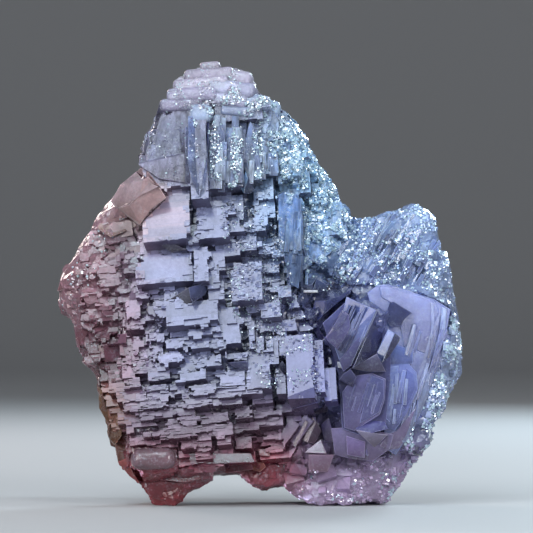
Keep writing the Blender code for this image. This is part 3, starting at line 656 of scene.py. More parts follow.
LOBE_CRYSTALS = (
    # the ground that the others stand on
    ((112, 112, 166), 4, 5, -0.2, AT_WIDE,
     [(322, 322), (346, 300), (374, 302), (390, 340), (388, 380), (384, 424), (356, 432), (341, 426),
      (338, 372)]),
    ((104, 92, 132), 6, -2, 0.1, (360, 444),
     [(330, 426), (356, 424), (392, 432), (388, 446), (372, 458), (350, 456), (334, 452)]),
    # the large plate at the right, its top, its rim and its growth lines
    ((114, 124, 198), -15, 4, 0.3, AT_PLATE,
     [(376, 285), (387, 284), (433, 299), (449, 309), (447, 318), (444, 332), (450, 338), (444, 358),
      (426, 400), (418, 416), (394, 452), (384, 446), (380, 400), (380, 364), (376, 330), (366, 292)]),
    ((126, 134, 206), -15, 4, 0.55, AT_PLATE,
     [(378, 287), (387, 286), (432, 300), (437, 309), (436, 328), (428, 354), (402, 345), (398, 322),
      (410, 312), (380, 297)]),
    ((160, 160, 194), -12, 18, 0.8, AT_PLATE,
     [(378, 287), (387, 286), (410, 292), (434, 300), (431, 303), (404, 295), (384, 290)]),
    ((156, 162, 214), -15, 4, 0.8, AT_PLATE,
     [(429, 302), (432, 303), (433, 329), (424, 360), (412, 394), (400, 430), (397, 429), (409, 393),
      (421, 359), (430, 329)]),
    ((116, 118, 176), -15, 4, 0.5, AT_PLATE,
     [(434, 306), (437, 308), (437, 330), (428, 361), (416, 395), (402, 432), (400, 431), (413, 395),
      (425, 360), (434, 330)]),
    ((160, 174, 222), -15, 4, 0.6, AT_PLATE,
     [(440, 306), (445, 309), (443, 332), (434, 364), (421, 399), (404, 440), (400, 439), (416, 400),
      (430, 362), (438, 331)]),
    ((140, 150, 190), -15, 4, 0.45, AT_PLATE,
     [(444, 340), (448, 340), (442, 358), (425, 398), (410, 430), (406, 430), (420, 398), (436, 362)]),
    ((118, 124, 184), -15, 4, 0.7, AT_PLATE,
     [(403, 345), (427, 354), (420, 374), (412, 396), (405, 400), (406, 372), (411, 362)]),
    # the blue face
    ((142, 152, 216), -8, 5, 0.9, AT_BLUE,
     [(384, 363), (406, 361), (415, 371), (416, 388), (405, 411), (393, 428), (386, 426), (378, 411),
      (382, 392)]),
    ((154, 166, 228), -8, 5, 1.15, AT_BLUE,
     [(384, 366), (397, 364), (394, 392), (388, 420), (379, 411), (382, 392)]),
    ((118, 128, 194), -8, 5, 1.1, AT_BLUE,
     [(404, 366), (412, 372), (414, 386), (404, 408), (400, 404), (405, 386)]),
    ((122, 140, 210), -8, 9, 0.9, (398, 356), [(393, 343), (411, 349), (411, 362), (384, 364), (384, 352)]),
    # the wide face, and the grey one above it
    ((124, 116, 160), 4, 5, 0.9, AT_WIDE,
     [(341, 390), (353, 374), (370, 371), (384, 377), (383, 397), (378, 412), (353, 428), (343, 425)]),
    ((108, 108, 158), 4, 5, 1.1, AT_WIDE, [(369, 373), (382, 378), (382, 396), (377, 410), (358, 421)]),
    (GREY, 8, -24, 1.6, (368, 362), [(349, 367), (375, 352), (379, 360), (384, 370), (368, 370)]),
    # the main cube with its ridge, its side painted dark as shade, and the plate on it with painted shadow in
    # the slots beside it
    ((130, 144, 208), 12, -5, 1.6, AT_CUBE, [(345, 296), (374, 309), (350, 364), (342, 370), (334, 347)]),
    ((98, 92, 146), 12, -5, 1.75, AT_CUBE, [(357, 336), (362, 338), (350, 364), (342, 370), (338, 358)]),
    ((168, 174, 204), -6, 10, 1.8, AT_CUBE, [(373, 308), (376, 310), (351, 364), (349, 364)]),
    (SHADOW_COLOUR, -48, -4, 1.6, AT_CUBE, [(376, 310), (388, 322), (384, 332), (375, 351), (351, 366)]),
    ((104, 96, 152), 12, -5, 2.3, AT_CUBE,
     [(329, 327), (341, 309), (347, 313), (349, 324), (346, 333), (336, 348), (324, 337)]),
    ((112, 110, 156), 12, -5, 2.6, AT_CUBE, [(331, 326), (341, 311), (346, 314), (342, 322), (334, 330)]),
    # painted shadow: dark slots beside the plate on the cube
    (SHADOW_COLOUR, 10, 0, 2.2, AT_CUBE, [(346, 332), (350, 334), (340, 351), (336, 348)]),
    (SHADOW_COLOUR, 12, -5, 2.0, AT_CUBE, [(352, 334), (353, 335), (345, 351), (344, 350)]),
    # the blocks between cube and plate
    (DEEP_BLUE, 14, 14, 1.5, (392, 312),
     [(379, 298), (392, 301), (410, 312), (402, 318), (400, 324), (389, 327), (379, 308)]),
    ((112, 132, 196), 20, 8, 2.2, AT_LIGHT, [(386, 328), (393, 332), (380, 361), (375, 351)]),
    (OLIVE, -48, 0, 2.2, AT_LIGHT, [(393, 332), (400, 337), (387, 356), (380, 361)]),
    ((62, 56, 92), 18, -20, 2.0, None, [(342, 372), (349, 367), (355, 375), (351, 385), (338, 378)]),
    # the pyramid and the small blocks below
    ((70, 72, 142), 0, 38, 2.2, AT_PYRAMID, [(354, 426), (367, 414), (379, 411), (386, 426), (370, 430)]),
    (BEIGE, -6, -34, 2.2, AT_PYRAMID, [(354, 427), (370, 430), (386, 432), (373, 445)]),
    ((102, 84, 130), 4, 6, 0.9, None, [(345, 433), (364, 439), (363, 455), (346, 452)]),
    ((102, 98, 172), -20, 6, 0.8, None, [(365, 440), (373, 445), (370, 454), (364, 452)]),
    ((74, 60, 118), 24, 0, 1.2, None, [(320, 423), (328, 416), (332, 429), (333, 440), (324, 440)]),
    ((84, 66, 122), 18, 4, 0.9, None, [(333, 429), (342, 432), (343, 451), (335, 448)]),
    # the cube at the foot, and prisms
    ((112, 72, 84), 10, -8, 1.2, None, [(308, 452), (333, 452), (327, 469), (308, 470)]),
    ((158, 130, 150), 0, 26, 1.8, None, [(304, 450), (320, 437), (326, 451)]),
    ((132, 112, 118), 18, 16, 1.4, None, [(302, 438), (312, 415), (316, 420), (307, 440)]),
    ((110, 88, 98), 18, 16, 1.0, None, [(292, 442), (305, 418), (308, 420), (295, 445)]),
    ((82, 58, 62), -24, 4, 1.4, None, [(306, 440), (316, 420), (321, 429), (314, 442)]),
    # the corner above the cube
    ((92, 106, 140), 16, 30, 1.0, AT_CORNER, [(306, 271), (316, 278), (312, 284), (300, 286), (293, 292)]),
    ((62, 72, 112), -30, 4, 1.0, AT_CORNER, [(316, 278), (326, 284), (324, 290), (312, 290)]),
    ((48, 54, 92), 10, -24, 1.0, AT_CORNER, [(300, 286), (312, 284), (312, 290), (303, 291)]),
    # painted highlight: a white bar along the corner's edge
    ((225, 225, 240), 6, 22, 1.6, (310, 290), [(303, 289.5), (317, 289.5), (317, 292), (303, 292)]),
    ((120, 112, 122), 14, 14, 1.2, None, [(326, 278), (334, 282), (327, 291), (324, 290)]),
    # the valley to the left of the cube, whose crystals' dark blue is partly painted shade, and slanting
    # faces
    ((58, 68, 138), 26, 2, 1.0, (320, 305), [(314, 300), (325, 300), (324, 313), (316, 321), (312, 309)]),
    ((46, 52, 98), 4, 34, 1.0, (326, 303),
     [(325, 300), (338, 296), (351, 288), (349, 293), (332, 306), (324, 313)]),
    ((56, 52, 104), 22, 4, 0.9, None, [(324, 313), (338, 303), (345, 302), (329, 324), (318, 324)]),
    ((66, 58, 108), 28, -10, 1.0, None, [(311, 327), (316, 321), (322, 335), (331, 347), (324, 347)]),
    ((96, 90, 150), -10, 20, 1.2, None, [(322, 335), (328, 337), (334, 347), (332, 351)]),
    ((52, 44, 84), 22, 0, 1.0, None, [(320, 348), (335, 352), (324, 365)]),
    # bits at the edges
    ((200, 205, 225), 10, 24, 1.8, None, [(336, 360), (341, 360), (341, 367), (337, 366)]),
    ((122, 104, 124), 4, 22, 1.0, None, [(309, 413), (327, 403), (327, 410), (321, 411)]),
    ((112, 92, 124), -16, -4, 0.9, None,
     [(395, 429), (414, 405), (402, 439), (394, 452), (378, 443), (386, 432)]),
    # painted glints: two near-white bits at corners of the lobe
    ((215, 235, 245), -30, 20, 0.8, None, [(424, 435), (428, 430), (433, 438), (425, 442)]),
    ((215, 235, 245), -20, 20, 0.8, None, [(407, 452), (413, 443), (422, 450), (421, 455)]),
)

# Crystals of the stepped face that lie another way.
FACE_CRYSTALS = (
    (SMOKE, 30, -24, 1.6, None, [(162, 304), (190, 287), (194, 292), (192, 302), (175, 313)]),
    ((62, 66, 104), -44, 6, 1.9, None,
     [(190, 287), (204, 283), (209, 289), (206, 294), (194, 302), (192, 297)]),
    ((70, 62, 76), 10, -30, 1.4, None, [(163, 246), (169, 241), (188, 250), (173, 253)]),
    ((120, 158, 205), 34, 10, 1.4, AT_DIAMOND, [(240, 188), (246, 172), (248, 180), (244, 194)]),
    ((58, 66, 104), -30, 12, 1.4, AT_DIAMOND, [(246, 172), (255, 191), (250, 195), (244, 194), (248, 180)]),
    ((58, 54, 96), 14, -30, 1.8, None, [(227, 361), (248, 359), (249, 370), (234, 365)]),
    ((34, 30, 34), -10, -30, 1.6, None, [(278, 365), (282, 359), (291, 371), (284, 373)]),
)

# The fluted columns, the blue face beside them and the ledges of the top.
COLUMN_CRYSTALS = (
    # the wide grey column
    ((100, 98, 118), 8, 20, 0.3, None,
     [(161, 102), (185, 101), (191, 110), (192, 129), (154, 129), (156, 118)]),
    ((104, 102, 124), 8, 20, 0.7, None, [(154, 130), (186, 130), (186, 154), (143, 155), (146, 142)]),
    (COLUMN_GREY, 8, 19, 0.9, None, [(143, 156), (186, 155), (187, 184), (161, 180), (140, 165)]),
    ((118, 120, 148), -20, 16, 1.0, None, [(186, 128), (192, 130), (192, 186), (187, 184)]),
    # the narrower ones
    (COLUMN_BLUE, 2, 16, 0.8, None,
     [(189, 118), (210, 116), (210, 135), (208, 165), (206, 199), (200, 200), (193, 180), (189, 165)]),
    ((120, 136, 168), 14, 16, 0.6, None, [(210, 135), (218, 132), (222, 142), (222, 178), (210, 185)]),
    ((120, 132, 166), 14, 18, 1.1, AT_COLUMN,
     [(224, 129), (236, 129), (236, 142), (231, 185), (225, 182), (224, 145)]),
    (FROST, -30, 10, 1.1, AT_COLUMN,
     [(236, 129), (242, 129), (243, 142), (236, 186), (231, 185), (236, 142)]),
    ((110, 120, 150), 10, 18, 0.5, None, [(221, 117), (236, 118), (236, 133), (221, 133)]),
    ((88, 104, 146), 10, 14, 0.6, None,
     [(245, 142), (250, 122), (257, 132), (260, 170), (250, 178), (244, 170)]),
    ((120, 140, 182), 6, 16, 0.6, None, [(260, 128), (274, 126), (275, 166), (263, 174)]),
    ((100, 116, 152), 0, 16, 0.6, None, [(276, 128), (290, 132), (290, 170), (280, 178)]),
    # the blue face
    ((84, 110, 162), 2, 10, 0.4, None,
     [(278, 196), (284, 192), (300, 200), (302, 225), (301, 262), (298, 288), (291, 284), (285, 262),
      (279, 232)]),
)

# The broken left side, its yellow rind and the feet.
FLANK_CRYSTALS = (
    # the broken block at the upper left
    ((210, 186, 192), 48, 18, 1.4, AT_BLOCK,
     [(122, 185), (137, 172), (145, 181), (160, 188), (142, 196), (131, 206), (119, 209), (112, 202)]),
    ((194, 150, 142), 26, -4, 1.4, AT_BLOCK,
     [(145, 181), (150, 178), (160, 187), (168, 199), (153, 209), (142, 225), (121, 209), (131, 206),
      (142, 196)]),
    (ORANGE, 40, 40, 1.7, (150, 180),
     [(137, 172), (143, 169), (150, 173), (161, 187), (155, 185), (143, 176)]),
    # painted highlight: a thin near-white strip along the block's lower edge
    ((235, 215, 205), 10, -30, 1.8, None, [(118, 208), (122, 209), (142, 223), (144, 226), (140, 225)]),
    # the fan under it
    ((176, 148, 148), 40, 16, 0.9, None,
     [(100, 214), (115, 206), (121, 209), (131, 216), (119, 222), (100, 223)]),
    (TAN, 22, 14, 0.7, None,
     [(100, 223), (119, 222), (131, 216), (140, 225), (131, 230), (111, 239), (98, 229)]),
    ((190, 160, 130), 10, 34, 1.1, None,
     [(101, 227), (112, 234), (126, 229), (128, 231), (112, 237), (99, 229)]),
    # large facets of the flank
    ((196, 156, 168), 20, 22, 0.9, None, [(75, 271), (81, 252), (91, 254), (93, 267), (83, 271)]),
    ((136, 104, 110), 44, 10, 0.5, None,
     [(58, 291), (60, 283), (70, 264), (81, 251), (81, 257), (75, 271), (73, 279), (66, 289)]),
    (ROSE, 34, 8, 0.5, None, [(75, 318), (86, 317), (91, 330), (86, 337), (80, 347), (77, 334)]),
    # the yellow rind
    (TAN, 40, 8, 0.5, None, [(99, 385), (104, 390), (113, 402), (118, 410), (110, 424), (100, 407)]),
    ((130, 92, 60), 34, 4, 0.5, None,
     [(110, 424), (118, 410), (124, 421), (123, 434), (116, 443), (110, 437)]),
    ((140, 100, 78), 30, 14, 0.6, None, [(116, 443), (123, 436), (131, 439), (128, 456), (119, 460)]),
    ((138, 66, 44), 30, -8, 0.5, None, [(119, 460), (128, 456), (133, 468), (142, 482), (131, 474)]),
    # the left foot
    ((136, 74, 86), 12, 10, 0.6, None,
     [(148, 471), (176, 468), (208, 468), (203, 476), (185, 480), (154, 477)]),
    ((126, 66, 78), 10, -16, 0.6, None,
     [(143, 477), (154, 478), (185, 481), (185, 491), (167, 500), (151, 495)]),
    # between the feet
    ((136, 80, 90), 4, 10, 1.0, None, [(209, 462), (252, 460), (253, 467), (228, 471), (209, 469)]),
    ((96, 58, 68), 6, 14, 0.7, None, [(194, 450), (251, 450), (255, 459), (209, 461), (194, 456)]),
    ((168, 116, 96), 0, 10, 1.2, None, [(253, 461), (263, 460), (266, 465), (260, 470), (253, 468)]),
    ((66, 32, 32), 0, 10, 1.5, None, [(256, 462), (261, 462), (260, 467), (256, 467)]),
    ((184, 144, 142), 0, 22, 1.2, None, [(258, 447), (269, 447), (270, 454), (260, 453)]),
)

# Long crystals side by side: how many, within what outline in the photograph's pixels, ranges for their
# length and width in pixels, mean and spread of their lean, ranges for turn, tilt and standing out, their
# tones, and where their depth is taken, if not at each one's middle. First those of the lobe's top and the
# growth lines on its faces, then the flutes of the columns and the blue face beside the steps.
RIBS = (
    110, [(340, 232), (378, 214), (408, 206), (424, 208), (438, 232), (450, 264), (457, 302), (448, 307),
          (430, 296), (408, 288), (388, 283), (374, 285), (352, 284), (336, 275), (336, 250)],
    (8, 44), (2, 5.5), (32, 4), (-22, 8), (6, 22), (0.0, 0.6),
    ((140, 154, 200), (108, 120, 172), (164, 178, 214), (122, 136, 188), (124, 146, 190)),
)
PLATE_LINES = (
    34, [(400, 345), (408, 316), (437, 309), (447, 318), (444, 358), (418, 416), (394, 452), (384, 446),
         (396, 400)],
    (12, 46), (0.9, 4.0), (15, 4), (-16, -14), (3.5, 4.5), (0.5, 0.95),
    ((132, 140, 204), (112, 118, 180), (156, 164, 214), (122, 128, 192)), AT_PLATE,
)
CUBE_LINES = (
    9, [(345, 296), (374, 309), (350, 364), (342, 370), (334, 347)],
    (12, 40), (0.9, 2.6), (23, 1), (11.5, 12.5), (-5.5, -4.5), (1.65, 1.95),
    ((140, 152, 212), (98, 96, 150), (156, 164, 210)), AT_CUBE,
)
WIDE_LINES = (
    7, [(343, 388), (353, 376), (370, 373), (380, 380), (380, 396), (375, 410), (354, 424), (345, 422)],
    (14, 36), (1.0, 4.5), (18, 3), (3.6, 4.4), (4.6, 5.4), (1.1, 1.35),
    ((134, 130, 176), (114, 112, 162), (148, 146, 192)), AT_WIDE,
)
BLUE_LINES = (
    9, [(386, 366), (404, 364), (412, 372), (413, 388), (402, 408), (392, 424), (387, 422), (382, 408),
        (384, 392)],
    (14, 40), (1.2, 5.0), (9, 3), (-8.4, -7.6), (4.6, 5.4), (1.15, 1.4),
    ((160, 172, 232), (136, 148, 216), (178, 190, 238)), AT_BLUE,
)
FLUTES = (
    30, [(212, 118), (286, 112), (293, 186), (276, 182), (240, 190), (212, 196)],
    (16, 58), (3.5, 8.5), (1, 2), (-24, 26), (12, 24), (0.3, 1.0),
    ((124, 132, 160), (96, 108, 146), (168, 180, 204), (104, 118, 156), (146, 160, 190)),
)
PANEL = (
    26, [(276, 190), (304, 196), (312, 262), (306, 292), (288, 290), (276, 240)],
    (16, 60), (2, 7), (2, 2), (-14, 22), (6, 18), (0.4, 1.0),
    ((92, 120, 174), (84, 108, 160), (112, 140, 190), (78, 100, 152)),
)

EDGE_WIDTH = 0.14
EDGE_HIGHLIGHT, EDGE_HIGHLIGHT_PALE = 0.6, 0.1  # painted highlight: how much lighter and paler an edge is than its face, at a highlight strength of 1
TOP_PAINTED_LIGHT = 0.7  # painted light: how much lighter a crystal is at its top than at its foot, as if lit from above
TOP_LIGHT_TINT = np.array((0.8, 1.0, 1.1))  # and in which colours
BENT = 0.25  # the share that a corner keeps of how far it stands off too much
SIDES = 5.0  # how deep a crystal's sides run at least
ROOTED = 1.5  # how far into the solid they run
FLATTEST = 0.5


def crystal_block(made, solid, own, highlight, most, colour, turn, tilt, out, anchor, corners):
    """A flat crystal face where the photograph shows it, with its sides running back into the solid. Own is
    how much of its colour is its own, the rest being its zone's; the next argument is how strong a painted
    highlight its edges get; and most is how far it may stand off the solid before it bends back."""
    flat = spots(corners)
    normal = np.array(turned(0, turn, tilt) @ Vector((0, -1, 0)))
    held = np.mean(flat, 0) if anchor is None else np.array(spot(*anchor))
    met = solid.front(*held)
    if met is None:
        return
    depth = met.y - out
    front = []
    for x, z in flat:
        y = depth - ((x - held[0]) * normal[0] + (z - held[1]) * normal[2]) / normal[1]
        under = solid.front(x, z)
        if under is not None and under.y - y > most:
            y = under.y - most - BENT * (under.y - y - most)
        front.append(Vector((x, y, z)))
    back = BACKWARDS * SIDES - Vector(normal) * 1.0
    near = [made.verts.new(point * MM) for point in front]
    far = []
    for point in front:
        under = solid.front(point.x, point.z)
        more = 0.0 if under is None else max(0.0, under.y + ROOTED - (point + back).y)
        far.append(made.verts.new((point + back + BACKWARDS * more) * MM))
    face = made.faces.new(near)
    rim = list(face.edges)
    faces = [face]
    for k in range(len(near)):
        faces.append(made.faces.new((near[k], far[k], far[k - 1], near[k - 1])))
    faces.append(made.faces.new(far[::-1]))
    shade = made.loops.layers.float_color["tint"]
    zone = zone_colours(np.array([(held[0], 0.0, held[1])]))[0]
    tint = own * linear(*colour) + (1 - own) * zone
    heights = [z for _, z in flat]
    low, tall = min(heights), max(max(heights) - min(heights), FLATTEST)

    def colour_in(face, tint, spread):
        for loop in face.loops:
            rise = (loop.vert.co.z / MM - low) / tall - 0.5
            loop[shade] = (*np.clip(tint * (1 + spread * rise * TOP_LIGHT_TINT), 0, 1), 1)

    # painted light: every face lighter and bluer towards the crystal's top
    for face in faces:
        colour_in(face, tint, TOP_PAINTED_LIGHT)
    # painted highlight: a thin bevel round the face, lighter and paler than the face
    width = EDGE_WIDTH * MM
    bevelling = bmesh.ops.bevel(made, geom=rim, offset=width, segments=1, affect="EDGES", clamp_overlap=True)
    for face in bevelling["faces"]:
        colour_in(face, tint * (1 + EDGE_HIGHLIGHT * highlight) + EDGE_HIGHLIGHT_PALE * highlight, 0.0)


def slats(rng, count, area, long, wide, lean, turn, tilt, out, tones, anchor=None):
    """Long crystals side by side within an outline, as rows of the same kind as the tables above."""
    found = []
    low, high = np.min(area, 0), np.max(area, 0)
    while len(found) < count:
        middle = rng.uniform(low, high)
        angle = math.radians(rng.normal(*lean))
        along = np.array((math.sin(angle), -math.cos(angle))) * rng.uniform(*long) / 2
        across = np.array((math.cos(angle), math.sin(angle))) * rng.uniform(*wide) / 2
        corners = [tuple(middle + a * along + b * across) for a, b in ((-1, -1), (-1, 1), (1, 1), (1, -1))]
        if all(inside(area, *corner) for corner in corners):
            tone = tones[rng.integers(len(tones))]
            found.append((tone, rng.uniform(*turn), rng.uniform(*tilt), rng.uniform(*out), anchor, corners))
    return tuple(found)


def large_crystals(name, table, solid, own=0.65, highlight=0.6, most=5.0):
    made = bmesh.new()
    made.loops.layers.float_color.new("tint")
    for row in table:
        crystal_block(made, solid, own, highlight, most, *row)
    bmesh.ops.recalc_face_normals(made, faces=made.faces)
    return shaped_piece(name, made)


# Crystals rounded by etching: the ledges of the top and the bulge at the lower left. Middle in the
# photograph's pixels, size in millimetres, roll, how far each stands out, and colour.
LEDGES = (
    ((211, 68.5), (4.4, 4.0, 2.2), 4, 0.4, (166, 158, 174)),
    ((210, 77.5), (11.0, 4.5, 3.2), 4, 0.6, (162, 154, 174)),
    ((233, 80), (8.8, 4.5, 3.6), -7, 0.8, (172, 166, 186)),
    ((202, 87), (12.2, 4.5, 3.0), 5, 0.8, (168, 160, 180)),
    ((232, 91), (11.0, 4.5, 3.4), -8, 1.0, (162, 162, 188)),
    ((193, 97.5), (11.0, 4.5, 3.4), 3, 0.9, (152, 146, 170)),
    ((222, 102), (12.0, 4.5, 3.2), -6, 1.2, (164, 164, 190)),
    ((253, 103), (7.8, 4.0, 3.0), -10, 0.7, (156, 168, 198)),
    ((268, 109), (5.4, 3.6, 3.4), -10, 0.5, (160, 180, 210)),
    ((183, 107.5), (9.4, 4.5, 2.8), 1, 0.8, (134, 128, 152)),
    ((211, 111), (8.0, 4.0, 2.4), -4, 0.6, (144, 148, 176)),
    ((239, 114), (7.6, 3.6, 2.2), -5, 0.6, (142, 152, 182)),
    ((202, 116), (4.8, 4.4, 4.2), 0, 0.5, (150, 162, 190)),
    ((218, 124), (1.6, 3.0, 3.0), 0, 0.9, (146, 158, 182)),
)
BULGE = (((155, 456), (9.8, 4.4, 4.6), 2, 2.1, (134, 104, 114)),)
ROUNDED_TURN, ROUNDED_TILT = 10, 14
ROUNDED_STEPS = 6
BULGE_WORN, LEDGES_WORN = 0.46, 0.34


def rounded_blocks(name, table, bevelling, solid):
    """Blocks with edges rounded to this share of their least size."""
    made = bmesh.new()
    shade = made.faces.layers.float_color.new("tint")
    for middle, size, roll, out, colour in table:
        x, z = spot(*middle)
        depth = solid.front(x, z).y - out
        corners = bmesh.ops.create_cube(made, size=MM)["verts"]
        bmesh.ops.scale(made, vec=size, verts=corners)
        lie = turned(roll, ROUNDED_TURN, ROUNDED_TILT).to_4x4()
        place = Matrix.Translation(Vector((x, depth + size[1] / 2, z)) * MM)
        bmesh.ops.transform(made, matrix=place @ lie, verts=corners)
        rim = [edge for edge in made.edges if edge.verts[0] in corners]
        offset = bevelling * min(size) * MM
        bmesh.ops.bevel(made, geom=rim, offset=offset, segments=ROUNDED_STEPS, profile=0.5, affect="EDGES")
        for face in made.faces:
            if not face.smooth:  # this block's, since those of the blocks before are smooth
                face[shade] = (*linear(*colour), 1)
                face.smooth = True
    return shaped_piece(name, made)


# Small crystals that cover the surface in patches, about the inverse of PATCH across, in millimetres, where
# noise is over PATCH_EDGE.
PATCH, PATCH_EDGE = 0.3, -0.08
COLUMN_TALL = 1.7  # how much taller than wide the coarse crystals are
COARSE_CLEAR = 1.4  # how clear of the outline they keep, in sizes
# painted glints: the near white that some small crystals are tinted towards, and how far
GLINT_WHITE, GLINT_MIX = (206, 236, 250), 0.8
DRUSE_TONES = (0.9, 1.5)
# Where they are, in the photograph's pixels.
SLOPE = [
    (258, 98), (268, 99), (283, 115), (303, 135), (315, 158), (331, 180), (340, 203), (352, 222), (342, 262),
    (322, 266), (305, 262), (300, 214), (282, 190), (274, 160), (262, 130),
]
LOBE_TOP = [
    (345, 222), (380, 215), (420, 204), (436, 226), (448, 262), (456, 300), (450, 306), (433, 298),
    (408, 289), (387, 283), (372, 286), (350, 280), (338, 262),
]
RIGHT_EDGE = [
    (452, 306), (462, 330), (461, 362), (452, 382), (440, 420), (420, 455), (404, 492), (386, 500),
    (392, 470), (404, 440), (424, 402), (440, 360), (446, 332),
]
# Outline, crystals for each square millimetre, smallest and largest size, how much they lean, and how many of
# them are tinted near white as painted glints. Where none is, they are coarse crystals for finer ones to grow
# on.
DRUSES = (
    (SLOPE, 1.3, (0.7, 1.4), 9, 0.0),
    (RIGHT_EDGE, 0.8, (0.7, 1.2), 12, 0.0),
    (SLOPE, 15.0, (0.2, 0.55), 12, 0.6),
    ([(220, 85), (262, 96), (276, 130), (270, 130), (238, 118), (222, 105)], 10.0, (0.2, 0.5), 12, 0.5),
    ([(204, 64), (222, 64), (252, 74), (262, 96), (262, 114), (160, 112), (172, 88), (186, 72)],
     4.0, (0.14, 0.34), 14, 0.3),
    (LOBE_TOP, 6.0, (0.2, 0.55), 14, 0.45),
    (RIGHT_EDGE, 10.0, (0.2, 0.65), 16, 0.5),
    ([(300, 258), (350, 262), (345, 285), (325, 292), (305, 275)], 4.0, (0.25, 0.7), 20, 0.3),
    ([(146, 102), (276, 102), (290, 186), (240, 190), (190, 190), (142, 164)], 1.6, (0.14, 0.34), 14, 0.3),
    ([(233, 128), (244, 128), (242, 166), (236, 190), (229, 190)], 14.0, (0.2, 0.45), 12, 0.6),
    ([(192, 108), (214, 110), (216, 132), (206, 140), (196, 136)], 12.0, (0.2, 0.45), 12, 0.5),
    ([(210, 136), (224, 136), (222, 180), (212, 180)], 12.0, (0.2, 0.45), 12, 0.5),
    ([(252, 118), (264, 124), (263, 180), (254, 180)], 10.0, (0.2, 0.45), 12, 0.5),
    ([(222, 205), (278, 205), (296, 300), (318, 345), (322, 395), (262, 385), (228, 300)],
     4.0, (0.14, 0.36), 14, 0.3),
    ([(284, 462), (330, 470), (372, 458), (414, 440), (404, 492), (380, 503), (330, 500), (290, 485)],
     4.0, (0.2, 0.6), 20, 0.15),
    ([(60, 300), (84, 244), (118, 208), (130, 216), (104, 262), (84, 300), (70, 330)],
     3.0, (0.2, 0.5), 18, 0.2),
)


# Materials.

PALE = (0.62, 0.70, 0.82, 1)
FLUORITE_IOR = 1.434
SPARKLE_IOR = 2.0
COAT_ROUGHNESS = 0.1
TERRACE = 0.09  # the step of noise that makes one terrace
# Scale and detail of each noise.
CLOUDS, SPECKS, FINE, TERRACED, STREAKED, GLOSS = (150, 6), (1500, 3), (1000, 5), (170, 4), (900, 3), (420, 4)
FROST_GRAIN, FROST_PATCHES = (1900, 4), (260, 4)
NOISE_ROUGHNESS = 0.62
STREAK_LONG, STREAK_HIGH = 22.0, 2.0
RELIEF_HIGH = 0.0001  # in metres, as is the next
SCATTER_DEEP, SCATTER_SHARES = 0.0015, (1.0, 0.8, 1.2)


def crystal_material(
    name, roughness, bump, scatter, through=0.0, coat=0.0, terraces=0.0, streaks=None, frost=0.0, cloud=0.25
):
    """Crystal in the tint of each face, with cloudy zones, fine relief, shallow terraces and streaks."""
    made = bpy.data.materials.new(name)
    made.use_nodes = True
    nodes, links = made.node_tree.nodes, made.node_tree.links
    shader = nodes["Principled BSDF"]

    def fill(node, values):
        """Sets a node's sockets, or links them to other nodes'."""
        for socket, value in values.items():
            if isinstance(value, bpy.types.NodeSocket):
                links.new(value, node.inputs[socket])
            else:
                node.inputs[socket].default_value = value

    def noise_of(scale, detail, vector=None, distortion=0.0):
        found = nodes.new("ShaderNodeTexNoise")
        values = {"Scale": scale, "Detail": detail, "Roughness": NOISE_ROUGHNESS, "Distortion": distortion}
        fill(found, {**values, "Vector": place if vector is None else vector})
        return found.outputs["Fac"]

    def spread(value, low, high, start=0.3, end=0.7):
        ranged = nodes.new("ShaderNodeMapRange")
        fill(ranged, {"From Min": start, "From Max": end, "To Min": low, "To Max": high, "Value": value})
        return ranged.outputs["Result"]

    def mix(kind, factor, first, second):
        mixed = nodes.new("ShaderNodeMix")
        mixed.data_type, mixed.blend_type = "RGBA", kind
        fill(mixed, {"Factor": factor, "A": first, "B": second})
        return mixed.outputs["Result"]

    def sum_up(operation, *values):
        worked = nodes.new("ShaderNodeMath")
        worked.operation = operation
        fill(worked, dict(enumerate(values)))
        return worked.outputs["Value"]

    place = nodes.new("ShaderNodeTexCoord").outputs["Object"]
    tint = nodes.new("ShaderNodeAttribute")
    tint.attribute_name = "tint"
    colour = mix("MULTIPLY", 1.0, tint.outputs["Color"], spread(noise_of(*CLOUDS), 1 - cloud, 1 + cloud))
    colour = mix("MULTIPLY", 1.0, colour, spread(noise_of(*SPECKS), 0.9, 1.1))
    if frost:
        grain = spread(noise_of(*FROST_GRAIN), 0.0, frost, 0.48, 0.62)
        patches = spread(noise_of(*FROST_PATCHES), 0.0, 1.6, 0.42, 0.66)
        colour = mix("MIX", sum_up("MULTIPLY", grain, patches), colour, PALE)
    height = spread(noise_of(*FINE), 0.0, 1.0, 0.0, 1.0)
    if streaks is not None:
        turned_to = nodes.new("ShaderNodeMapping")
        turned_to.vector_type = "TEXTURE"
        fill(turned_to, {"Rotation": (0, math.radians(streaks), 0), "Vector": place})
        fill(turned_to, {"Scale": (1.0, 1.0, STREAK_LONG)})
        lines = noise_of(*STREAKED, turned_to.outputs["Vector"])
        colour = mix("MULTIPLY", 1.0, colour, spread(lines, 0.62, 1.4, 0.38, 0.62))
        height = sum_up("MULTIPLY_ADD", lines, STREAK_HIGH, height)
    if terraces:
        steps = sum_up("SNAP", noise_of(*TERRACED, distortion=0.6), TERRACE)
        height = sum_up("MULTIPLY_ADD", steps, terraces, height)
    relief = nodes.new("ShaderNodeBump")
    fill(relief, {"Strength": bump, "Distance": RELIEF_HIGH, "Height": height})
    gloss = spread(noise_of(*GLOSS), max(roughness - 0.07, 0.03), roughness + 0.1)
    fill(shader, {"Base Color": colour, "Roughness": gloss, "Normal": relief.outputs["Normal"]})
    fill(shader, {"Transmission Weight": through, "IOR": FLUORITE_IOR})
    fill(shader, {"Coat Weight": coat, "Coat Roughness": COAT_ROUGHNESS, "Subsurface Weight": scatter})
    fill(shader, {"Subsurface Radius": SCATTER_SHARES, "Subsurface Scale": SCATTER_DEEP})
    return made


def floor_material():
    made = bpy.data.materials.new("floor")
    made.use_nodes = True
    shader = made.node_tree.nodes["Principled BSDF"]
    shader.inputs["Base Color"].default_value = FLOOR_COLOUR
    shader.inputs["Roughness"].default_value = FLOOR_ROUGHNESS
    return made


# The studio, in metres.

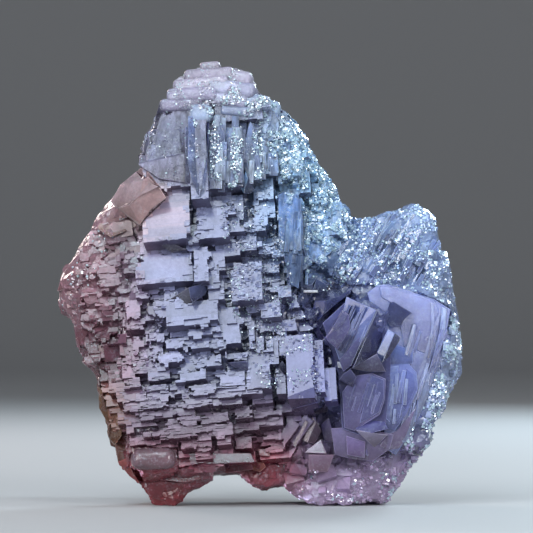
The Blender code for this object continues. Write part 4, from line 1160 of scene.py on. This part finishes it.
CAMERA_AWAY = 1.1
VIEW_CENTRE = (1.65, 52.2)  # x, z in millimetres
FRAME_PIXELS = 533
SENSOR = 36.0
FLOOR_WIDE, FLOOR_NEAR, BACKDROP_HIGH = 4.0, -3.0, 3.0
FLOOR_COLOUR, FLOOR_ROUGHNESS = (0.42, 0.42, 0.43, 1), 0.6
SKY_COLOUR, SKY_STRENGTH = (0.86, 0.88, 0.92, 1), 0.2
SWEEP_FROM, SWEEP_BEND, SWEEP_STEPS = 1.4, 0.8, 16  # where the floor curves up, how wide, in how many steps
LAMP_AIM = Vector((0, 0, 0.05))
# Name, place, size, power, colour.
LAMPS = (
    ("softbox", (-0.20, -0.56, 0.62), 0.40, 2.3, (0.84, 0.91, 1.0)),
    ("fill", (0.55, -0.75, 0.34), 0.36, 4.2, (0.96, 0.97, 1.0)),
    ("left_fill", (-0.61, -0.62, 0.30), 0.46, 2.8, (1.0, 0.95, 0.94)),
    ("right_behind", (0.30, 0.60, 0.30), 0.22, 3.6, (0.72, 0.90, 1.0)),
    ("right_above", (0.50, -0.10, 0.62), 0.10, 1.8, (0.80, 0.94, 1.0)),
    ("left_behind", (-0.35, 0.45, 0.32), 0.20, 1.3, (1.0, 0.86, 0.82)),
)
# Small lamps around the direction in which the stepped face mirrors the camera, which only little tilted
# faces catch: degrees away from it and around it.
SPARKS = ((17, 20), (17, 110), (17, 200), (17, 290), (30, 65), (30, 155), (30, 335))
SPARK_AWAY, SPARK_SIZE, SPARK_POWER, SPARK_COLOUR = 0.85, 0.09, 0.40, (0.72, 0.92, 1.0)


def stage_floor(scene):
    """The floor, which curves up into a backdrop."""
    shape = bmesh.new()
    line = [(FLOOR_NEAR, 0.0), (SWEEP_FROM, 0.0)]
    for k in range(1, SWEEP_STEPS + 1):
        angle = math.radians(90 * k / SWEEP_STEPS)
        line.append((SWEEP_FROM + SWEEP_BEND * math.sin(angle), SWEEP_BEND * (1 - math.cos(angle))))
    line.append((SWEEP_FROM + SWEEP_BEND, BACKDROP_HIGH))
    rows = [[shape.verts.new((x, y, z)) for x in (-FLOOR_WIDE, FLOOR_WIDE)] for y, z in line]
    for near, far in zip(rows, rows[1:]):
        shape.faces.new((near[0], near[1], far[1], far[0])).smooth = True
    mesh = bpy.data.meshes.new("floor")
    shape.to_mesh(mesh)
    shape.free()
    floor = bpy.data.objects.new("floor", mesh)
    scene.collection.objects.link(floor)
    mesh.materials.append(floor_material())


def lamp(scene, name, place, size, power, colour):
    light = bpy.data.lights.new(name, "AREA")
    light.shape, light.size, light.energy, light.color = "DISK", size, power, colour
    made = bpy.data.objects.new(name, light)
    scene.collection.objects.link(made)
    made.location = place
    made.rotation_euler = (LAMP_AIM - Vector(place)).to_track_quat("-Z", "Y").to_euler()


def studio():
    scene = bpy.context.scene
    stage_floor(scene)
    data = bpy.data.cameras.new("camera")
    data.sensor_width = SENSOR
    data.lens = SENSOR * CAMERA_AWAY / (FRAME_PIXELS * PIXEL * MM)
    data.clip_start = 0.01
    camera = bpy.data.objects.new("camera", data)
    scene.collection.objects.link(camera)
    camera.location = (VIEW_CENTRE[0] * MM, -CAMERA_AWAY, VIEW_CENTRE[1] * MM)
    camera.rotation_euler = (math.radians(90), 0, 0)
    scene.camera = camera
    world = bpy.data.worlds.new("world")
    scene.world = world
    world.use_nodes = True
    sky = world.node_tree.nodes["Background"]
    sky.inputs["Color"].default_value = SKY_COLOUR
    sky.inputs["Strength"].default_value = SKY_STRENGTH
    scene.view_settings.view_transform = "Standard"
    for row in LAMPS:
        lamp(scene, *row)
    mirror = Vector(2 * N[1] * -N - np.array((0, -1, 0))).normalized()
    aside = mirror.cross(Vector((0, 0, 1))).normalized()
    for k, (away, around) in enumerate(SPARKS):
        turns = Matrix.Rotation(math.radians(around), 3, mirror)
        turns = turns @ Matrix.Rotation(math.radians(away), 3, aside)
        lamp(scene, f"spark_{k}", turns @ mirror * SPARK_AWAY, SPARK_SIZE, SPARK_POWER, SPARK_COLOUR)


def seen_surface(pieces):
    """A cast from the camera's side: the foremost place on any of the pieces at x, z, with its normal."""
    bpy.context.view_layer.update()
    graph = bpy.context.evaluated_depsgraph_get()
    trees = [BVHTree.FromObject(piece, graph) for piece in pieces]

    def cast(x, z):
        met = [tree.ray_cast(Vector((x, -AWAY, z)) * MM, BACKWARDS) for tree in trees]
        met = [found for found in met if found[0] is not None]
        if not met:
            return None
        place, normal, _, _ = min(met, key=lambda found: found[3])
        return place / MM, normal if normal.y < 0 else -normal

    return cast


def clear_of_edge(solid, places, sizes):
    """Which places have the solid in front of them for a little way up, down, left and right."""
    around = ((1, 0), (-1, 0), (0, 1), (0, -1))
    kept = []
    for (x, _, z), size in zip(places, sizes):
        kept.append(all(solid.front(x + a * size, z + b * size) is not None for a, b in around))
    return np.array(kept)


def druse(pieces, solid, rng):
    """Sparkling coats of small crystals, in patches, on what the camera sees of the pieces."""
    cast = seen_surface(pieces)
    made = []
    for k, (outline, amount, (small, large), lean, glint_share) in enumerate(DRUSES):
        corners = spots(outline)
        low, high = np.min(corners, 0), np.max(corners, 0)
        places, normals = [], []
        for x, z in rng.uniform(low, high, (int(amount * np.prod(high - low)), 2)):
            if not inside(corners, x, z):
                continue
            met = cast(x, z)
            if met is not None and noise.noise(met[0] * PATCH) > PATCH_EDGE:
                places.append(met[0])
                normals.append(met[1])
        places, normals = np.array(places), np.array(normals)
        sizes = small + (large - small) * rng.random(len(places)) ** 2
        coarse = glint_share == 0.0
        if coarse:
            clear = clear_of_edge(solid, places, COARSE_CLEAR * sizes)
            places, normals, sizes = places[clear], normals[clear], sizes[clear]
        piece = small_cubes(f"druse_{k}", places, normals, sizes, lean, rng, COLUMN_TALL if coarse else 1.0)
        tints = zone_colours(face_centres(piece)) * rng.uniform(*DRUSE_TONES, (len(piece.data.polygons), 1))
        # painted glints: a share of the crystals tinted near white
        glinting = np.repeat(rng.random(len(places)) < glint_share, len(CUBE_FACES))
        tints[glinting] = tints[glinting] * (1 - GLINT_MIX) + GLINT_MIX * linear(*GLINT_WHITE)
        paint(piece, tints)
        made.append(piece)
        if coarse:  # finer ones grow on these
            cast = seen_surface([*pieces, *made])
    return made


# Places on the left that broken crystal leaves free, in the photograph's pixels.
SMOOTH = (
    [(104, 206), (137, 166), (154, 168), (172, 199), (146, 230), (119, 215)],
    [(130, 438), (184, 438), (184, 474), (130, 474)],
)
# Limits of where broken crystal lies: in x, y and z, and in how far the surface looks up or back.
FEET_BELOW, FEET_RIGHT_OF, LEFT_OF, LEFT_DEEP, OFF_FLOOR, FACING_DOWN = 11, -30, -14, 6, 1.2, -0.6
FACING_BACK, BACK_FROM, BACK_OFF_FLOOR = 0.15, 1, 2.5


def left_and_feet(places, normals):
    """Which of the places are on the left or the feet, for broken crystal."""
    x, y, z = places.T
    low = (z < FEET_BELOW) & (x > FEET_RIGHT_OF)
    side = ~inside(STEPPED, x, z) & (x < LEFT_OF)
    kept = (side | low) & (z > OFF_FLOOR) & (normals[:, 2] > FACING_DOWN) & (y < LEFT_DEEP)
    for outline in SMOOTH:
        kept &= ~(inside(spots(outline), x, z) & (y < 0))
    return kept


def behind(places, normals):
    return (normals[:, 1] > FACING_BACK) & (places[:, 2] > BACK_OFF_FLOOR) & (places[:, 1] > BACK_FROM)


# Name, how many are tried, where, smallest and largest size, and how much they lean.
SHARDS = (
    ("left_blocks", 1500, left_and_feet, 0.3, 1.4, 9),
    ("left_shards_fine", 5200, left_and_feet, 1.2, 4.2, 11),
    ("back_shards", 1500, behind, 1.8, 6.0, 8),
)
SHARD_SIZES = 2.4  # the higher, the fewer are large
SHARD_TONES = (0.85, 1.2)


def shards(mass, solid, rng):
    """Broken crystal on the left, the feet and the back."""
    made = []
    for name, amount, keep, small, large, lean in SHARDS:
        places, normals = scattered(mass, amount, rng, keep)
        sizes = small + (large - small) * rng.random(len(places)) ** SHARD_SIZES
        clear = clear_of_edge(solid, places, sizes)
        make = small_cubes if name == "left_blocks" else fragments
        piece = make(name, places[clear], normals[clear], sizes[clear], lean, rng)
        tones = rng.uniform(*SHARD_TONES, (len(piece.data.polygons), 1))
        paint(piece, zone_colours(face_centres(piece)) * tones)
        made.append(piece)
    return made


STEPPED_SLOT, COLUMN_SLOT, COURSE_SLOT, BROKEN_SLOT = range(4)
# Where the columns' material begins, at the top and at the right, and the low courses' ends.
COLUMN_LOOK_ABOVE, RIGHT_LOOK_FROM, RIGHT_LOOK_ABOVE, COURSE_LOOK_BELOW = 69.5, 5.0, 47, 22.0


def give_field_materials(piece, materials, rng):
    """The stepped pieces' materials by place: columns above and at the right, low courses, broken flank."""
    centres = face_centres(piece)
    for material in materials:
        piece.data.materials.append(material)
    x, z = centres[:, 0], centres[:, 2]
    columns = (z > COLUMN_LOOK_ABOVE) | (x > RIGHT_LOOK_FROM) & (z > RIGHT_LOOK_ABOVE)
    kind = np.where(columns, COLUMN_SLOT, STEPPED_SLOT)
    kind[z + rng.normal(0, 1.0, len(kind)) < COURSE_LOOK_BELOW] = COURSE_SLOT
    kind[inside(spots(BROKEN), x, z)] = BROKEN_SLOT
    piece.data.polygons.foreach_set("material_index", kind.astype(np.int32))


def main():
    rng = np.random.default_rng(SEED + 2)
    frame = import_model()
    node = frame["nodes"]["fluorite"]
    solid = Solid(node)
    pieces = stepped_pieces(solid)
    mass = rough_mass(node)
    kinds = (RIBS, PLATE_LINES, CUBE_LINES, WIDE_LINES, BLUE_LINES)
    lines = tuple(row for kind in kinds for row in slats(rng, *kind))
    lobe = large_crystals("cube_lobe", LOBE_CRYSTALS + lines, solid, highlight=0.95, most=8.0)
    odd = large_crystals("odd_crystals", FACE_CRYSTALS, solid)
    flutes = slats(rng, *FLUTES) + slats(rng, *PANEL)
    fluted = large_crystals("fluted_columns", COLUMN_CRYSTALS + flutes, solid, own=0.6, highlight=0.6, most=3.0)
    flank = large_crystals("broken_flank", FLANK_CRYSTALS, solid, own=0.45, highlight=0.7, most=7.0)
    bulge = rounded_blocks("bulge", BULGE, BULGE_WORN, solid)
    ledges = rounded_blocks("ledges", LEDGES, LEDGES_WORN, solid)
    stepped = crystal_material("stepped fluorite", 0.14, 0.35, scatter=0.1, coat=0.35, terraces=14.0)
    courses = crystal_material("course fluorite", 0.24, 0.45, scatter=0.15, terraces=10.0)
    columns = crystal_material("column fluorite", 0.30, 0.6, scatter=0.3, through=0.3, streaks=0, frost=0.25)
    glassy = crystal_material(
        "lobe fluorite", 0.08, 0.3, scatter=0.2, through=0.5, coat=0.2, terraces=10.0, frost=0.15, cloud=0.35
    )
    sparkling = crystal_material("druse fluorite", 0.05, 0.1, scatter=0.2, through=0.3, coat=1.0)
    sparkling.node_tree.nodes["Principled BSDF"].inputs["Coat IOR"].default_value = SPARKLE_IOR
    etched = crystal_material(
        "etched fluorite", 0.2, 1.0, scatter=0.3, through=0.2, terraces=16.0, frost=0.4, cloud=0.4
    )
    broken = crystal_material(
        "broken fluorite", 0.09, 0.6, scatter=0.2, through=0.5, coat=0.2, terraces=10.0, frost=0.2, cloud=0.4
    )
    for piece in pieces:
        give_field_materials(piece, (stepped, columns, courses, broken), rng)
    paint(mass, zone_colours(face_centres(mass)))
    mass.data.materials.clear()
    for piece in (mass, flank, bulge):
        piece.data.materials.append(broken)
    for piece in (lobe, odd):
        piece.data.materials.append(glassy)
    fluted.data.materials.append(columns)
    ledges.data.materials.append(etched)
    for piece, (*_, glint_share) in zip(druse([mass, lobe, fluted, flank, ledges, *pieces], solid, rng), DRUSES):
        piece.data.materials.append(sparkling if glint_share else columns)
    for piece in shards(mass, solid, rng):
        piece.data.materials.append(broken)
    studio()


main()
